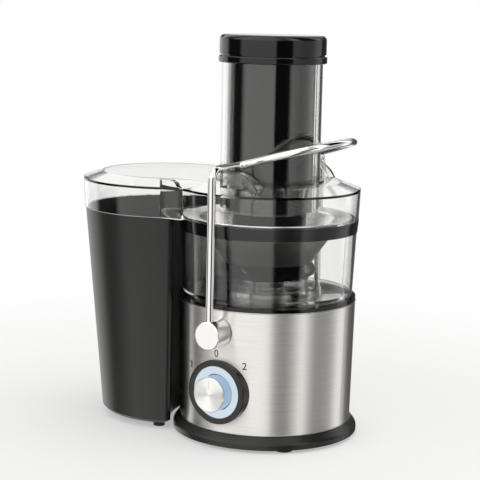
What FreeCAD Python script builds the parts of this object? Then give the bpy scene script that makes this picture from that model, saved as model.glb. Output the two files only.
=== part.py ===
"""Centrifugal juicer: steel motor base, clear bowl and lid, pulp container, locking arm.

Every piece is drawn about the motor axis, with the table at z = 0, the pulp container
towards -X and the control knob towards -Y. The finished piece is then moved along X, so
that the origin lies under the middle of the whole juicer.
"""
import FreeCAD, Part
import Sketcher
import math
import os
import re

doc = FreeCAD.newDocument("centrifugal_juicer")
V = FreeCAD.Vector

# Driving dimensions, in millimetres and degrees
SIZES = {
    # how far a cutting shape stands out past the face that it cuts
    "cut_margin": 1.0,
    # base
    "foot_height": 3.0, "foot_radius": 8.0, "foot_inset": 12.0,
    "skirt_height": 11.4, "skirt_stand": 6.7, "skirt_edge": 5.0, "skirt_ledge": 1.6,
    "plate_thickness": 3.0, "vent_length": 22.0, "vent_width": 4.0, "vent_reach": 34.0,
    "sleeve_height": 116.4, "sleeve_top_radius": 84.8, "sleeve_flare": 2.3,
    "sleeve_wall": 0.8, "skin_clearance": 0.1, "housing_wall": 2.4,
    "boss_ring_width": 8.0, "boss_ring_height": 10.0, "boss_inset": 16.5,
    "screw_radius": 1.75, "screw_head_radius": 3.5, "screw_head_height": 1.8,
    "screw_length": 14.0,
    # deck under the bowl
    "lip_height": 3.4, "lip_width": 3.0, "deck_thickness": 3.0, "deck_hub_height": 6.8,
    "deck_rise": 1.2,
    "deck_spigot_clearance": 0.2, "motor_ring_radius": 36.0, "motor_ring_width": 8.0,
    "motor_ring_height": 8.0, "seal_radius": 9.0, "seal_height": 4.5,
    # motor
    "stator_radius": 45.0, "stator_bore": 25.0, "motor_room": 61.4, "rotor_gap": 0.6,
    "coil_inner_radius": 27.0, "coil_outer_radius": 40.0, "coil_top_length": 10.5,
    "coil_low_length": 8.0, "bracket_wall": 4.0, "bracket_plate": 3.0,
    "upper_bracket_depth": 24.0, "lower_bracket_depth": 22.0,
    "bearing_radius": 11.0, "bearing_length": 8.0, "bearing_hub_wall": 3.0,
    "low_bearing_stand": 2.0, "top_bearing_hang": 3.0, "coil_edge": 2.6,
    "shaft_radius": 4.0, "shaft_fit": 0.03, "seat_fit": 0.03,
    "winding_radius": 21.0, "winding_length": 6.5, "commutator_radius": 12.0,
    "commutator_length": 8.0, "fan_radius": 36.0, "fan_height": 4.5, "fan_plate": 1.2,
    "fan_blade_thickness": 1.6, "fan_hub_radius": 9.0,
    "brush_section": 6.0, "brush_length": 12.0, "brush_gap": 0.15,
    "holder_width": 10.0, "holder_height": 10.4, "holder_length": 20.0,
    "holder_reach": 15.0, "holder_fit": 0.1,
    # bowl
    "bowl_inset": 3.5, "bowl_flare": 3.0, "bowl_wall": 2.2, "bowl_height": 64.5,
    "collar_height": 11.7, "collar_stand": 0.5, "collar_flare": 1.2,
    "collar_wall": 2.0, "collar_fit": 0.1, "bowl_rim_drop": 0.6,
    "well_radius": 39.0, "well_top": 19.0, "well_ledge": 10.0, "well_ledge_radius": 46.5,
    "well_skirt": 1.2, "gutter_low": 4.4, "gutter_high": 7.4, "locating_clearance": 0.4,
    "spout_radius": 11.0, "spout_length": 30.7, "spout_closed_length": 12.7,
    "spout_height": 13.8, "spout_direction": 118.0, "spout_run_in": 6.6,
    "spout_cut_width": 33.0, "spout_cut_height": 22.0,
    # lid and feed tube
    "lid_skirt_height": 29.0, "lid_overhang": 0.8, "lid_skirt_inset": 0.4,
    "lid_rise": 6.3, "lid_slope_width": 18.3, "lid_wall": 2.4, "lid_waist_radius": 34.0,
    "lid_lobe_extra": 0.4, "container_reach": 27.5,
    "tube_radius": 47.5, "tube_wall": 2.5, "tube_rise": 110.2, "tube_drop": 29.0,
    "tube_ring_width": 4.0, "tube_ring_height": 1.6, "tube_fit": 0.05,
    "ramp_inset": 13.8, "ramp_length": 33.0, "ramp_back": 9.0, "ramp_wall": 2.0,
    "ramp_flat": 3.0, "ramp_width": 12.0,
    "lug_stand": 4.2, "lug_depth": 6.5, "lug_width": 24.0, "lug_shift": 5.4, "lug_rise": 7.2,
    "lug_curve": 12.0,
    # pusher
    "pusher_clearance": 3.0, "pusher_wall": 2.2, "pusher_edge": 2.0,
    "shoulder_above_end": 0.5, "nose_step": 6.5, "nose_length": 27.0,
    "cap_overhang": 3.7, "cap_height": 26.3, "cap_flange_height": 6.8, "cap_body_stand": 2.9,
    "cap_groove": 1.4, "cap_edge": 4.5, "cap_plug_depth": 7.0, "cap_plug_fit": 0.1,
    "cap_seat": 0.2, "cap_wall": 2.6,
    # filter basket
    "basket_lift": 1.0, "hub_low_radius": 38.8, "hub_mid_radius": 44.5, "hub_radius": 46.5,
    "hub_mid_height": 3.5, "hub_full_height": 8.0, "hub_height": 14.5, "hub_floor": 10.0,
    "hub_rim_width": 2.6, "socket_wall": 3.8, "socket_depth": 10.0, "socket_roof": 1.0,
    "mesh_thickness": 0.7, "mesh_low_radius": 42.0, "basket_inset": 15.9,
    "mesh_height": 39.5, "rim_width": 12.4, "rim_height": 4.2, "rim_sheet": 1.6, "rim_overlap": 1.2,
    "grater_thickness": 1.2, "grater_clearance": 0.3, "tooth_length": 4.0,
    "tooth_width": 1.2, "tooth_height": 1.4, "tooth_crest": 1.2, "tooth_crest_width": 0.24,
    "tooth_reach": 13.0, "tooth_step": 7.0,
    "coupling_radius": 12.0, "coupling_height": 10.0, "coupling_gap": 1.5,
    "coupling_fit": 0.2, "tread_radius": 1.6,
    # pulp container
    "container_bottom": 6.0, "container_gap": 0.6, "container_wall": 2.5,
    "container_taper": 11.0, "container_lean": 8.5, "container_inset": 0.6,
    "skirt_clearance": 2.8, "collar_clearance": 6.0, "container_corner": 5.0, "container_chamfer": 3.0,
    "pad_radius": 5.5, "pad_gap": 0.4, "pad_inner_back": 19.0, "pad_inner_side": 56.0,
    "pad_outer_back": 45.0, "pad_outer_side": 32.0,
    # locking arm
    "pivot_drop": 20.8, "arm_rod_radius": 3.7, "arm_clearance": 13.7, "arm_rise": 17.5,
    "arm_bend": 9.0, "loop_clearance": 6.5, "loop_straight": 30.2, "loop_slope": 15.9,
    "arm_hub_radius": 13.3, "hub_cover": 5.2, "arm_hub_gap": 0.5, "arm_hub_edge": 1.6,
    "rod_fit": 0.05, "rod_depth": 9.0, "ramp_clearance": 0.4,
    "pin_radius": 4.0, "pin_fit": 0.05, "pin_short": 5.0, "pin_head_radius": 7.0,
    "pin_head_thickness": 2.5, "pin_hole_fit": 0.1,
    # controls
    "knob_level": 53.6, "knob_radius": 16.4, "knob_stand": 9.8, "knob_sunk": 3.2,
    "knob_cap_thickness": 2.1, "knob_edge": 1.0, "spindle_radius": 3.0, "spindle_fit": 0.05,
    "spindle_short": 3.4, "spindle_depth": 16.0,
    "bezel_radius": 30.2, "bezel_width": 5.5, "bezel_stand": 5.33, "bezel_edge": 1.2,
    "bezel_root": 12.0, "lamp_clearance": 0.2, "lamp_sunk": 1.6, "lamp_thickness": 2.8,
    "knob_clearance": 0.8, "window_radius": 22.0,
    "board_radius": 20.0, "board_bore": 7.0, "board_thickness": 1.6,
    "switch_width": 30.0, "switch_depth": 24.0, "seat_gap": 0.3,
    "interlock_width": 20.0, "interlock_depth": 10.0, "interlock_height": 16.0,
    "interlock_side": 12.0,
    "gland_level": 30.0, "gland_radius": 6.8, "gland_flange_radius": 9.5,
    "gland_flange_thickness": 3.0, "gland_bore": 3.6, "gland_inside": 10.0,
    "gland_fit": 0.1,
}

# Sizes that follow from the driving ones, so that neighbours keep together
FOLLOWING = {
    "sleeve_low_radius": "sleeve_top_radius - sleeve_flare",
    "stator_length": "sleeve_height - motor_room",
    "skirt_radius": "sleeve_low_radius + skirt_stand",
    "foot_reach": "skirt_radius - foot_inset",
    "boss_ring_radius": "sleeve_low_radius - boss_inset",
    "bowl_low_radius": "sleeve_top_radius - bowl_inset",
    "bowl_top_radius": "bowl_low_radius + bowl_flare",
    "collar_low_radius": "bowl_top_radius + collar_stand",
    "collar_top_radius": "collar_low_radius + collar_flare",
    "lid_rim_radius": "collar_top_radius + lid_overhang",
    "lid_skirt_radius": "collar_top_radius - lid_skirt_inset",
    "container_offset": "collar_top_radius + container_reach",
    "container_low_offset": "container_offset - container_lean",
    "container_top_radius": "lid_skirt_radius - container_inset",
    "container_low_radius": "container_top_radius - container_taper",
    "container_hug_radius": "max(skirt_radius + skirt_clearance; collar_top_radius + collar_clearance)",
    "pad_inner_reach": "container_low_offset - pad_inner_back",
    "pad_outer_reach": "container_low_offset + pad_outer_back",
    "mesh_top_radius": "bowl_top_radius - basket_inset",
    "spout_reach": "bowl_low_radius + spout_length",
    "spout_closed_reach": "bowl_low_radius + spout_closed_length",
    "ramp_reach": "lid_rim_radius - ramp_inset",
    "cap_radius": "tube_radius + cap_overhang",
    "cap_body_radius": "tube_radius + cap_body_stand",
    "loop_half_width": "tube_radius + loop_clearance",
    "arm_side": "lid_rim_radius + arm_clearance",
    "arm_hub_face": "arm_side + hub_cover",
    "pin_end": "arm_side - pin_short",
    "arm_pivot_height": "foot_height + skirt_height + sleeve_height - pivot_drop",
    "arm_height": "pivot_drop + deck_rise + bowl_height + collar_height"
                  " + lid_skirt_height + lid_rise + arm_rise",
    "bezel_front": "sleeve_low_radius + (sleeve_top_radius - sleeve_low_radius)"
                   " * (knob_level - foot_height - skirt_height) / sleeve_height + bezel_stand",
    "lamp_front": "bezel_front - lamp_sunk",
    "knob_back": "bezel_front - knob_sunk",
    "knob_front": "bezel_front + knob_stand",
    "spindle_end": "knob_front - spindle_short",
}

sheet = doc.addObject("Spreadsheet::Sheet", "Sizes")
cells = [(alias, str(number)) for alias, number in SIZES.items()]
cells += [(alias, "=" + formula) for alias, formula in FOLLOWING.items()]
for row, (alias, content) in enumerate(cells, start=1):
    sheet.set(f"A{row}", alias)
    sheet.set(f"B{row}", content)
    sheet.setAlias(f"B{row}", alias)
doc.recompute()

# How many of each repeated feature there are, and how the grater's teeth stand
VENT_COUNT = 12
BLADE_COUNT = 9
TREAD_COUNT = 6
TOOTH_CIRCLES = 4
FIRST_TEETH = 10
MORE_TEETH = 4
TOOTH_STAGGER = 9.0
TOOTH_LEAN = 60

# Two places nearer than this, in millimetres, are the same place
SAME = 1e-4

NODES = []


def bound(text):
    """An expression over the sheet, written with bare size names."""
    return re.sub(r"\b[a-z_]+\b(?!\()", r"Sizes.\g<0>", str(text))


def size(text):
    """The number that an expression over the sheet has now."""
    return float(sheet.evalExpression(bound(text)))


# Levels above the table
SKIRT_TOP = "(foot_height + skirt_height)"
PLATE_TOP = "(foot_height + plate_thickness)"
SLEEVE_TOP = f"({SKIRT_TOP} + sleeve_height)"
DECK_UNDER = f"({SLEEVE_TOP} - deck_thickness)"
DECK_TOP = f"({SLEEVE_TOP} + deck_rise)"
DECK_HUB_TOP = f"({DECK_TOP} + deck_hub_height)"
COLLAR_LOW = f"({DECK_TOP} + bowl_height)"
COLLAR_TOP = f"({COLLAR_LOW} + collar_height)"
LID_RIM = f"({COLLAR_TOP} + lid_skirt_height)"
LID_FLAT = f"({LID_RIM} + lid_rise)"
TUBE_TOP = f"({LID_FLAT} + tube_rise)"
TUBE_END = f"({LID_FLAT} - tube_drop)"
BRACKET_TOP = f"({DECK_UNDER} - motor_ring_height)"
STATOR_TOP = f"({BRACKET_TOP} - upper_bracket_depth)"
STATOR_LOW = f"({STATOR_TOP} - stator_length)"
LOW_BRACKET = f"({STATOR_LOW} - lower_bracket_depth)"
LOW_PLATE_TOP = f"({LOW_BRACKET} + bracket_plate)"
LOW_BEARING = f"({LOW_PLATE_TOP} - bearing_length + low_bearing_stand)"
TOP_BEARING = f"({BRACKET_TOP} - bracket_plate - top_bearing_hang)"
WELL_TOP = f"({DECK_TOP} + well_top)"
HUB_LOW = f"({WELL_TOP} + basket_lift)"
HUB_TOP = f"({HUB_LOW} + hub_height)"
HUB_FLOOR = f"({HUB_LOW} + hub_floor)"
BASKET_TOP = f"({HUB_TOP} + mesh_height)"
COUPLING_LOW = f"({DECK_HUB_TOP} + coupling_gap)"
COUPLING_TOP = f"({COUPLING_LOW} + coupling_height)"
CONTAINER_TOP = f"({COLLAR_TOP} - container_gap)"
FRAME_SHIFT = "((container_offset + lid_rim_radius + lid_lobe_extra - skirt_radius) / 2)"


def sleeve_radius(level):
    """Outer radius of the steel sleeve at a level: a slight cone, wider at the top."""
    return (f"(sleeve_low_radius + (sleeve_top_radius - sleeve_low_radius)"
            f" * ({level} - {SKIRT_TOP}) / sleeve_height)")


def housing_bore(level):
    """Inner radius of the plastic housing behind the sleeve at a level."""
    return f"({sleeve_radius(level)} - sleeve_wall - skin_clearance - housing_wall)"


def node(thing, label):
    """Name a finished piece and move it from the motor axis to the juicer's own frame."""
    thing.Label = label
    thing.setExpression("Placement.Base.x", bound(FRAME_SHIFT))
    NODES.append(thing)
    return thing


def solid(kind, name, sizes, at=("0", "0", "0"), turn=None):
    """A primitive with its sizes and its place bound to the sheet; turn is (axis, degrees)."""
    thing = doc.addObject(kind, name)
    for key, text in sizes.items():
        thing.setExpression(key, bound(text))
    if turn:
        thing.Placement = FreeCAD.Placement(V(), FreeCAD.Rotation(turn[0], turn[1]))
    for axis, text in zip("xyz", at):
        thing.setExpression(f"Placement.Base.{axis}", bound(text))
    return thing


TO_FRONT = (V(1, 0, 0), 90)
TO_REAR = (V(1, 0, 0), -90)


def rod(name, radius, length, at, turn=None):
    """A round bar of a radius and a length, upright unless it is turned."""
    return solid("Part::Cylinder", name, {"Radius": radius, "Height": length}, at, turn)


def block(name, sizes, at, turn=None):
    """A rectangular block, sizes along X, Y and Z from its low corner."""
    return solid("Part::Box", name, dict(zip(("Length", "Width", "Height"), sizes)), at, turn)


def join(name, things):
    """Several shapes fused into one."""
    fuse = doc.addObject("Part::MultiFuse", name)
    fuse.Shapes = things
    return fuse


def group(name, things):
    """Several separate solids kept as one piece of the list."""
    compound = doc.addObject("Part::Compound", name)
    compound.Links = things
    return compound


def cut(name, base, tools):
    """A base shape with tool shapes removed."""
    result = doc.addObject("Part::Cut", name)
    result.Base = base
    result.Tool = tools[0] if len(tools) == 1 else join(name + "_tools", tools)
    return result


def outline(body, role, name, corners):
    """A closed outline of straight lines on an origin plane, each corner bound to the sheet."""
    sketch = body.newObject("Sketcher::SketchObject", name)
    plane = [part for part in body.Origin.OriginFeatures if part.Role == role][0]
    sketch.AttachmentSupport = [(plane, "")]
    sketch.MapMode = "FlatFace"
    points = [V(size(x), size(y), 0) for x, y in corners]
    count = len(points)
    for index in range(count):
        sketch.addGeometry(Part.LineSegment(points[index], points[(index + 1) % count]), False)
    for index in range(count):
        sketch.addConstraint(Sketcher.Constraint("Coincident", index, 2, (index + 1) % count, 1))
    for index, corner in enumerate(corners):
        for kind, text in zip(("DistanceX", "DistanceY"), corner):
            place = sketch.addConstraint(Sketcher.Constraint(kind, index, 1, size(text)))
            sketch.setExpression(f"Constraints[{place}]", bound(text))
    return sketch


def turned(name, corners):
    """A body turned about the motor axis from an outline of (radius, level) corners."""
    body = doc.addObject("PartDesign::Body", name)
    sketch = outline(body, "XZ_Plane", name + "_profile", corners)
    turning = body.newObject("PartDesign::Revolution", name + "_turning")
    turning.Profile = sketch
    turning.ReferenceAxis = (sketch, ["V_Axis"])
    turning.Angle = 360
    doc.recompute()
    return body


def rounded(body, circles, radius):
    """Round the circular edges of a turned body that lie at the given (radius, level)."""
    tip = body.Tip
    wanted = [(size(across), size(level)) for across, level in circles]
    edges = []
    for number, edge in enumerate(tip.Shape.Edges, start=1):
        if not isinstance(edge.Curve, Part.Circle):
            continue
        for across, level in wanted:
            if abs(edge.Curve.Radius - across) < SAME and abs(edge.Curve.Center.z - level) < SAME:
                edges.append(f"Edge{number}")
    fillet = body.newObject("PartDesign::Fillet", tip.Name + "_round")
    fillet.Base = (tip, edges)
    fillet.setExpression("Radius", bound(radius))
    doc.recompute()
    return body


def ring(name, inner, outer, low, high):
    """A plain turned ring between two radii and two levels."""
    return turned(name, [(inner, low), (outer, low), (outer, high), (inner, high)])


def around(count, first=0.0):
    """Angles in degrees of evenly spaced places round the motor axis."""
    return [first + 360.0 * index / count for index in range(count)]


def polar(radius, angle):
    """X and Y expressions of a place at a radius and an angle round the motor axis."""
    return f"({radius}) * cos(({angle}) * 1deg)", f"({radius}) * sin(({angle}) * 1deg)"


UP = V(0, 0, 1)
CORNERS = around(4, 45.0)

# Base skirt: black moulded foot of the base, with a boss ring for the screws and vent slots
SKIRT_INSIDE = "(sleeve_low_radius - sleeve_wall - housing_wall)"
BOSS_RING_OUT = "(boss_ring_radius + boss_ring_width)"
skirt = turned("skirt_moulding", [
    ("0", "foot_height"), ("skirt_radius", "foot_height"),
    ("skirt_radius", "foot_height + skirt_edge"),
    ("sleeve_low_radius + skirt_ledge", SKIRT_TOP), (SKIRT_INSIDE, SKIRT_TOP),
    (SKIRT_INSIDE, PLATE_TOP), (BOSS_RING_OUT, PLATE_TOP), (BOSS_RING_OUT, SKIRT_TOP),
    ("boss_ring_radius", SKIRT_TOP), ("boss_ring_radius", PLATE_TOP), ("0", PLATE_TOP)])
rounded(skirt, [("skirt_radius", "foot_height + skirt_edge")], "skirt_edge")
SCREW_CIRCLE = "(boss_ring_radius + boss_ring_width / 2)"
screw_places = [polar(SCREW_CIRCLE, angle) for angle in around(4, 0.0)]
skirt_cuts = []
for index, angle in enumerate(around(VENT_COUNT)):
    x, y = polar("vent_reach", angle)
    side_x, side_y = polar("vent_width / 2", angle + 90)
    back_x, back_y = polar("vent_length / 2", angle)
    corner = (f"{x} - {side_x} - {back_x}", f"{y} - {side_y} - {back_y}", "foot_height - cut_margin")
    skirt_cuts.append(block(f"vent_{index}",
                            ("vent_length", "vent_width", "plate_thickness + 2 * cut_margin"),
                            corner, (UP, angle)))
for index, (x, y) in enumerate(screw_places):
    skirt_cuts.append(rod(f"skirt_hole_{index}", "screw_radius + skin_clearance",
                          "skirt_height + 2 * cut_margin", (x, y, "foot_height - cut_margin")))
node(cut("base_skirt", skirt, skirt_cuts), "base_skirt")

# Rubber feet: four soft pads stuck under the skirt
feet = [rod(f"foot_{index}", "foot_radius", "foot_height", (*polar("foot_reach", angle), "0"))
        for index, angle in enumerate(CORNERS)]
node(group("rubber_feet", feet), "rubber_feet")

# Base screws: pan heads under the plate, shanks up into the housing's boss ring
screws = []
for index, (x, y) in enumerate(screw_places):
    head = rod(f"screw_head_{index}", "screw_head_radius", "screw_head_height",
               (x, y, "foot_height - screw_head_height"))
    shank = rod(f"screw_shank_{index}", "screw_radius", "screw_length", (x, y, "foot_height"))
    screws.append(join(f"screw_{index}", [head, shank]))
node(group("base_screws", screws), "base_screws")

# Openings shared by the sleeve and the housing behind it
KNOB_AXIS = ("0", "0", "knob_level")
PIN_AXIS = ("0", "0", "arm_pivot_height")
GLAND_AXIS = ("0", "0", "gland_level")


def shell_openings(name):
    """The knob window, the two pin holes and the gland hole, as tools for one shell."""
    reach = "arm_side"
    return [rod(name + "_window", "window_radius", reach, KNOB_AXIS, TO_FRONT),
            rod(name + "_pin_front", "pin_radius + pin_hole_fit", reach, PIN_AXIS, TO_FRONT),
            rod(name + "_pin_rear", "pin_radius + pin_hole_fit", reach, PIN_AXIS, TO_REAR),
            rod(name + "_gland", "gland_radius + gland_fit", reach, GLAND_AXIS, TO_REAR)]


# Motor housing: black inner shell with a boss ring at its foot that takes the base screws
HOUSING_LOW = "(sleeve_low_radius - sleeve_wall - skin_clearance)"
HOUSING_TOP = "(sleeve_top_radius - sleeve_wall - skin_clearance)"
BOSS_TOP = f"({SKIRT_TOP} + boss_ring_height)"
housing = turned("housing_moulding", [
    ("boss_ring_radius", SKIRT_TOP), (HOUSING_LOW, SKIRT_TOP), (HOUSING_TOP, SLEEVE_TOP),
    (f"{HOUSING_TOP} - housing_wall", SLEEVE_TOP), (housing_bore(BOSS_TOP), BOSS_TOP),
    ("boss_ring_radius", BOSS_TOP)])
screw_bores = [rod(f"housing_hole_{index}", "screw_radius + seat_fit", "boss_ring_height",
                   (x, y, SKIRT_TOP)) for index, (x, y) in enumerate(screw_places)]
node(cut("motor_housing", housing, shell_openings("housing") + screw_bores), "motor_housing")

# Steel sleeve: brushed stainless skin round the housing
sleeve = turned("sleeve_rolling", [
    ("sleeve_low_radius - sleeve_wall", SKIRT_TOP), ("sleeve_low_radius", SKIRT_TOP),
    ("sleeve_top_radius", SLEEVE_TOP), ("sleeve_top_radius - sleeve_wall", SLEEVE_TOP)])
node(cut("steel_sleeve", sleeve, shell_openings("sleeve")), "steel_sleeve")

# Motor deck: black top of the base with the lip round the bowl and the ring that holds the motor
DECK_BORE = "(shaft_radius + locating_clearance)"
DECK_HUB = "(well_radius - bowl_wall - locating_clearance)"
SPIGOT = f"({housing_bore(DECK_UNDER)} - deck_spigot_clearance)"
LIP_IN = "(sleeve_top_radius - lip_width)"
RING_OUT = "(motor_ring_radius + motor_ring_width)"
SEAL_LOW = f"({DECK_HUB_TOP} - seal_height)"
deck = turned("motor_deck", [
    (DECK_BORE, DECK_UNDER), ("motor_ring_radius", DECK_UNDER), ("motor_ring_radius", BRACKET_TOP),
    (RING_OUT, BRACKET_TOP), (RING_OUT, DECK_UNDER), (SPIGOT, DECK_UNDER), (SPIGOT, SLEEVE_TOP),
    ("sleeve_top_radius", SLEEVE_TOP), ("sleeve_top_radius", f"{SLEEVE_TOP} + lip_height"),
    (LIP_IN, f"{SLEEVE_TOP} + lip_height"), (LIP_IN, DECK_TOP), (DECK_HUB, DECK_TOP),
    (DECK_HUB, DECK_HUB_TOP), ("seal_radius + seat_fit", DECK_HUB_TOP),
    ("seal_radius + seat_fit", SEAL_LOW), (DECK_BORE, SEAL_LOW)])
node(deck, "motor_deck")

# Shaft seal: rubber ring in the deck's hub
node(ring("shaft_seal", "shaft_radius + shaft_fit", "seal_radius", SEAL_LOW, DECK_HUB_TOP),
     "shaft_seal")

# Motor brackets: die-cast end caps that carry the bearings and clamp the stator
BEARING_SEAT = "(bearing_radius + seat_fit)"
BEARING_HUB = f"({BEARING_SEAT} + bearing_hub_wall)"
BRACKET_IN = "(stator_radius - bracket_wall)"
TOP_PLATE_LOW = f"({BRACKET_TOP} - bracket_plate)"
node(turned("upper_bracket", [
    (BEARING_SEAT, TOP_BEARING), (BEARING_HUB, TOP_BEARING), (BEARING_HUB, TOP_PLATE_LOW),
    (BRACKET_IN, TOP_PLATE_LOW), (BRACKET_IN, STATOR_TOP), ("stator_radius", STATOR_TOP),
    ("stator_radius", BRACKET_TOP), (BEARING_HUB, BRACKET_TOP),
    (BEARING_HUB, f"{TOP_BEARING} + bearing_length"),
    (BEARING_SEAT, f"{TOP_BEARING} + bearing_length")]), "upper_bracket")
node(turned("lower_bracket", [
    (BEARING_SEAT, LOW_BEARING), (BEARING_HUB, LOW_BEARING), (BEARING_HUB, LOW_BRACKET),
    ("stator_radius", LOW_BRACKET), ("stator_radius", STATOR_LOW), (BRACKET_IN, STATOR_LOW),
    (BRACKET_IN, LOW_PLATE_TOP), (BEARING_HUB, LOW_PLATE_TOP),
    (BEARING_HUB, f"{LOW_BEARING} + bearing_length"),
    (BEARING_SEAT, f"{LOW_BEARING} + bearing_length")]), "lower_bracket")

# Bearings: pressed into the brackets, running on the shaft
for label, low in (("upper_bearing", TOP_BEARING), ("lower_bearing", LOW_BEARING)):
    node(ring(label, "shaft_radius + shaft_fit", "bearing_radius", low, f"{low} + bearing_length"),
         label)

# Stator and field windings
node(ring("motor_stator", "stator_bore", "stator_radius", STATOR_LOW, STATOR_TOP), "motor_stator")
coils = [rounded(ring("upper_coil", "coil_inner_radius", "coil_outer_radius", STATOR_TOP,
                      f"{STATOR_TOP} + coil_top_length"),
                 [("coil_outer_radius", f"{STATOR_TOP} + coil_top_length")], "coil_edge"),
         rounded(ring("lower_coil", "coil_inner_radius", "coil_outer_radius",
                      f"{STATOR_LOW} - coil_low_length", STATOR_LOW),
                 [("coil_outer_radius", f"{STATOR_LOW} - coil_low_length")], "coil_edge")]
node(group("field_windings", coils), "field_windings")

# Carbon brushes in their holders, which stand on the lower bracket
BRUSH_LOW = f"({LOW_PLATE_TOP} + (holder_height - brush_section) / 2)"
BRUSH_START = "(commutator_radius + brush_gap)"
holders = []
brushes = []
for index, angle in enumerate((0, 180)):
    x, y = polar("holder_reach", angle)
    side_x, side_y = polar("holder_width / 2", angle + 90)
    case = block(f"holder_case_{index}", ("holder_length", "holder_width", "holder_height"),
                 (f"{x} - {side_x}", f"{y} - {side_y}", LOW_PLATE_TOP), (UP, angle))
    bx, by = polar(BRUSH_START, angle)
    half_x, half_y = polar("brush_section / 2 + holder_fit", angle + 90)
    tunnel = block(f"holder_tunnel_{index}",
                   ("brush_length + holder_fit", "brush_section + 2 * holder_fit",
                    "brush_section + 2 * holder_fit"),
                   (f"{bx} - {half_x}", f"{by} - {half_y}", f"{BRUSH_LOW} - holder_fit"), (UP, angle))
    holders.append(cut(f"holder_{index}", case, [tunnel]))
    edge_x, edge_y = polar("brush_section / 2", angle + 90)
    brushes.append(block(f"brush_{index}", ("brush_length", "brush_section", "brush_section"),
                         (f"{bx} - {edge_x}", f"{by} - {edge_y}", BRUSH_LOW), (UP, angle)))
node(group("brush_holders", holders), "brush_holders")
node(group("carbon_brushes", brushes), "carbon_brushes")

# Motor shaft with its rotor, commutator and cooling fan
node(rod("motor_shaft", "shaft_radius", f"{COUPLING_TOP} - {LOW_BEARING}", ("0", "0", LOW_BEARING)),
     "motor_shaft")
ON_SHAFT = "(shaft_radius + seat_fit)"
ROTOR_RADIUS = "(stator_bore - rotor_gap)"
node(turned("motor_rotor", [
    (ON_SHAFT, f"{STATOR_LOW} - winding_length"), ("winding_radius", f"{STATOR_LOW} - winding_length"),
    ("winding_radius", STATOR_LOW), (ROTOR_RADIUS, STATOR_LOW), (ROTOR_RADIUS, STATOR_TOP),
    ("winding_radius", STATOR_TOP), ("winding_radius", f"{STATOR_TOP} + winding_length"),
    (ON_SHAFT, f"{STATOR_TOP} + winding_length")]), "motor_rotor")
COMMUTATOR_TOP = f"({STATOR_LOW} - winding_length)"
node(ring("commutator", ON_SHAFT, "commutator_radius", f"{COMMUTATOR_TOP} - commutator_length",
          COMMUTATOR_TOP), "commutator")
FAN_LOW = f"({TOP_BEARING} - fan_height - seat_gap)"
fan_plate = turned("fan_plate", [
    (ON_SHAFT, FAN_LOW), ("fan_radius", FAN_LOW), ("fan_radius", f"{FAN_LOW} + fan_plate"),
    ("fan_hub_radius", f"{FAN_LOW} + fan_plate"), ("fan_hub_radius", f"{FAN_LOW} + fan_height"),
    (ON_SHAFT, f"{FAN_LOW} + fan_height")])
blades = [block(f"fan_blade_{index}",
                ("fan_radius - fan_hub_radius", "fan_blade_thickness", "fan_height"),
                (*polar("fan_hub_radius - seat_gap", angle), FAN_LOW), (UP, angle))
          for index, angle in enumerate(around(BLADE_COUNT))]
node(join("cooling_fan", [fan_plate] + blades), "cooling_fan")

# Drive coupling: toothed steel driver on the shaft's end, inside the bowl's well
coupling_disc = ring("coupling_disc", ON_SHAFT, "coupling_radius", COUPLING_LOW, COUPLING_TOP)
treads = [rod(f"coupling_tread_{index}", "tread_radius", "coupling_height",
              (*polar("coupling_radius", angle), COUPLING_LOW))
          for index, angle in enumerate(around(TREAD_COUNT))]
node(cut("drive_coupling", coupling_disc, treads), "drive_coupling")

# Filter basket: black hub, perforated steel cone, rolled steel rim and grater disc
SOCKET = "(coupling_radius + coupling_fit)"
SOCKET_OUT = f"({SOCKET} + socket_wall)"
SOCKET_LOW = f"({HUB_LOW} - socket_depth)"
SOCKET_ROOF = f"({COUPLING_TOP} + socket_roof)"
HUB_RIM_IN = "(mesh_low_radius - hub_rim_width)"
node(turned("filter_hub", [
    ("0", SOCKET_ROOF), (SOCKET, SOCKET_ROOF), (SOCKET, SOCKET_LOW), (SOCKET_OUT, SOCKET_LOW),
    (SOCKET_OUT, HUB_LOW), ("hub_low_radius", HUB_LOW), ("hub_mid_radius", f"{HUB_LOW} + hub_mid_height"),
    ("hub_radius", f"{HUB_LOW} + hub_full_height"), ("mesh_low_radius", HUB_TOP),
    (HUB_RIM_IN, HUB_TOP), (HUB_RIM_IN, HUB_FLOOR), ("0", HUB_FLOOR)]), "filter_hub")
node(turned("filter_mesh", [
    ("mesh_low_radius - mesh_thickness", HUB_TOP), ("mesh_low_radius", HUB_TOP),
    ("mesh_top_radius", BASKET_TOP), ("mesh_top_radius - mesh_thickness", BASKET_TOP)]), "filter_mesh")
RIM_IN = "(mesh_top_radius - rim_overlap)"
RIM_OUT = f"({RIM_IN} + rim_width)"
RIM_TOP = f"({BASKET_TOP} + rim_height)"
basket_rim = turned("filter_rim", [
    (RIM_IN, BASKET_TOP), ("mesh_top_radius", BASKET_TOP), (RIM_OUT, f"{RIM_TOP} - rim_sheet"),
    (RIM_OUT, RIM_TOP), (RIM_IN, f"{BASKET_TOP} + rim_sheet")])
rounded(basket_rim, [(RIM_OUT, RIM_TOP)], "rim_sheet / 2")
node(basket_rim, "filter_rim")
GRATER_TOP = f"({HUB_FLOOR} + grater_thickness)"
grater_plate = rod("grater_plate", f"{HUB_RIM_IN} - grater_clearance", "grater_thickness",
                   ("0", "0", HUB_FLOOR))
teeth = []
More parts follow.
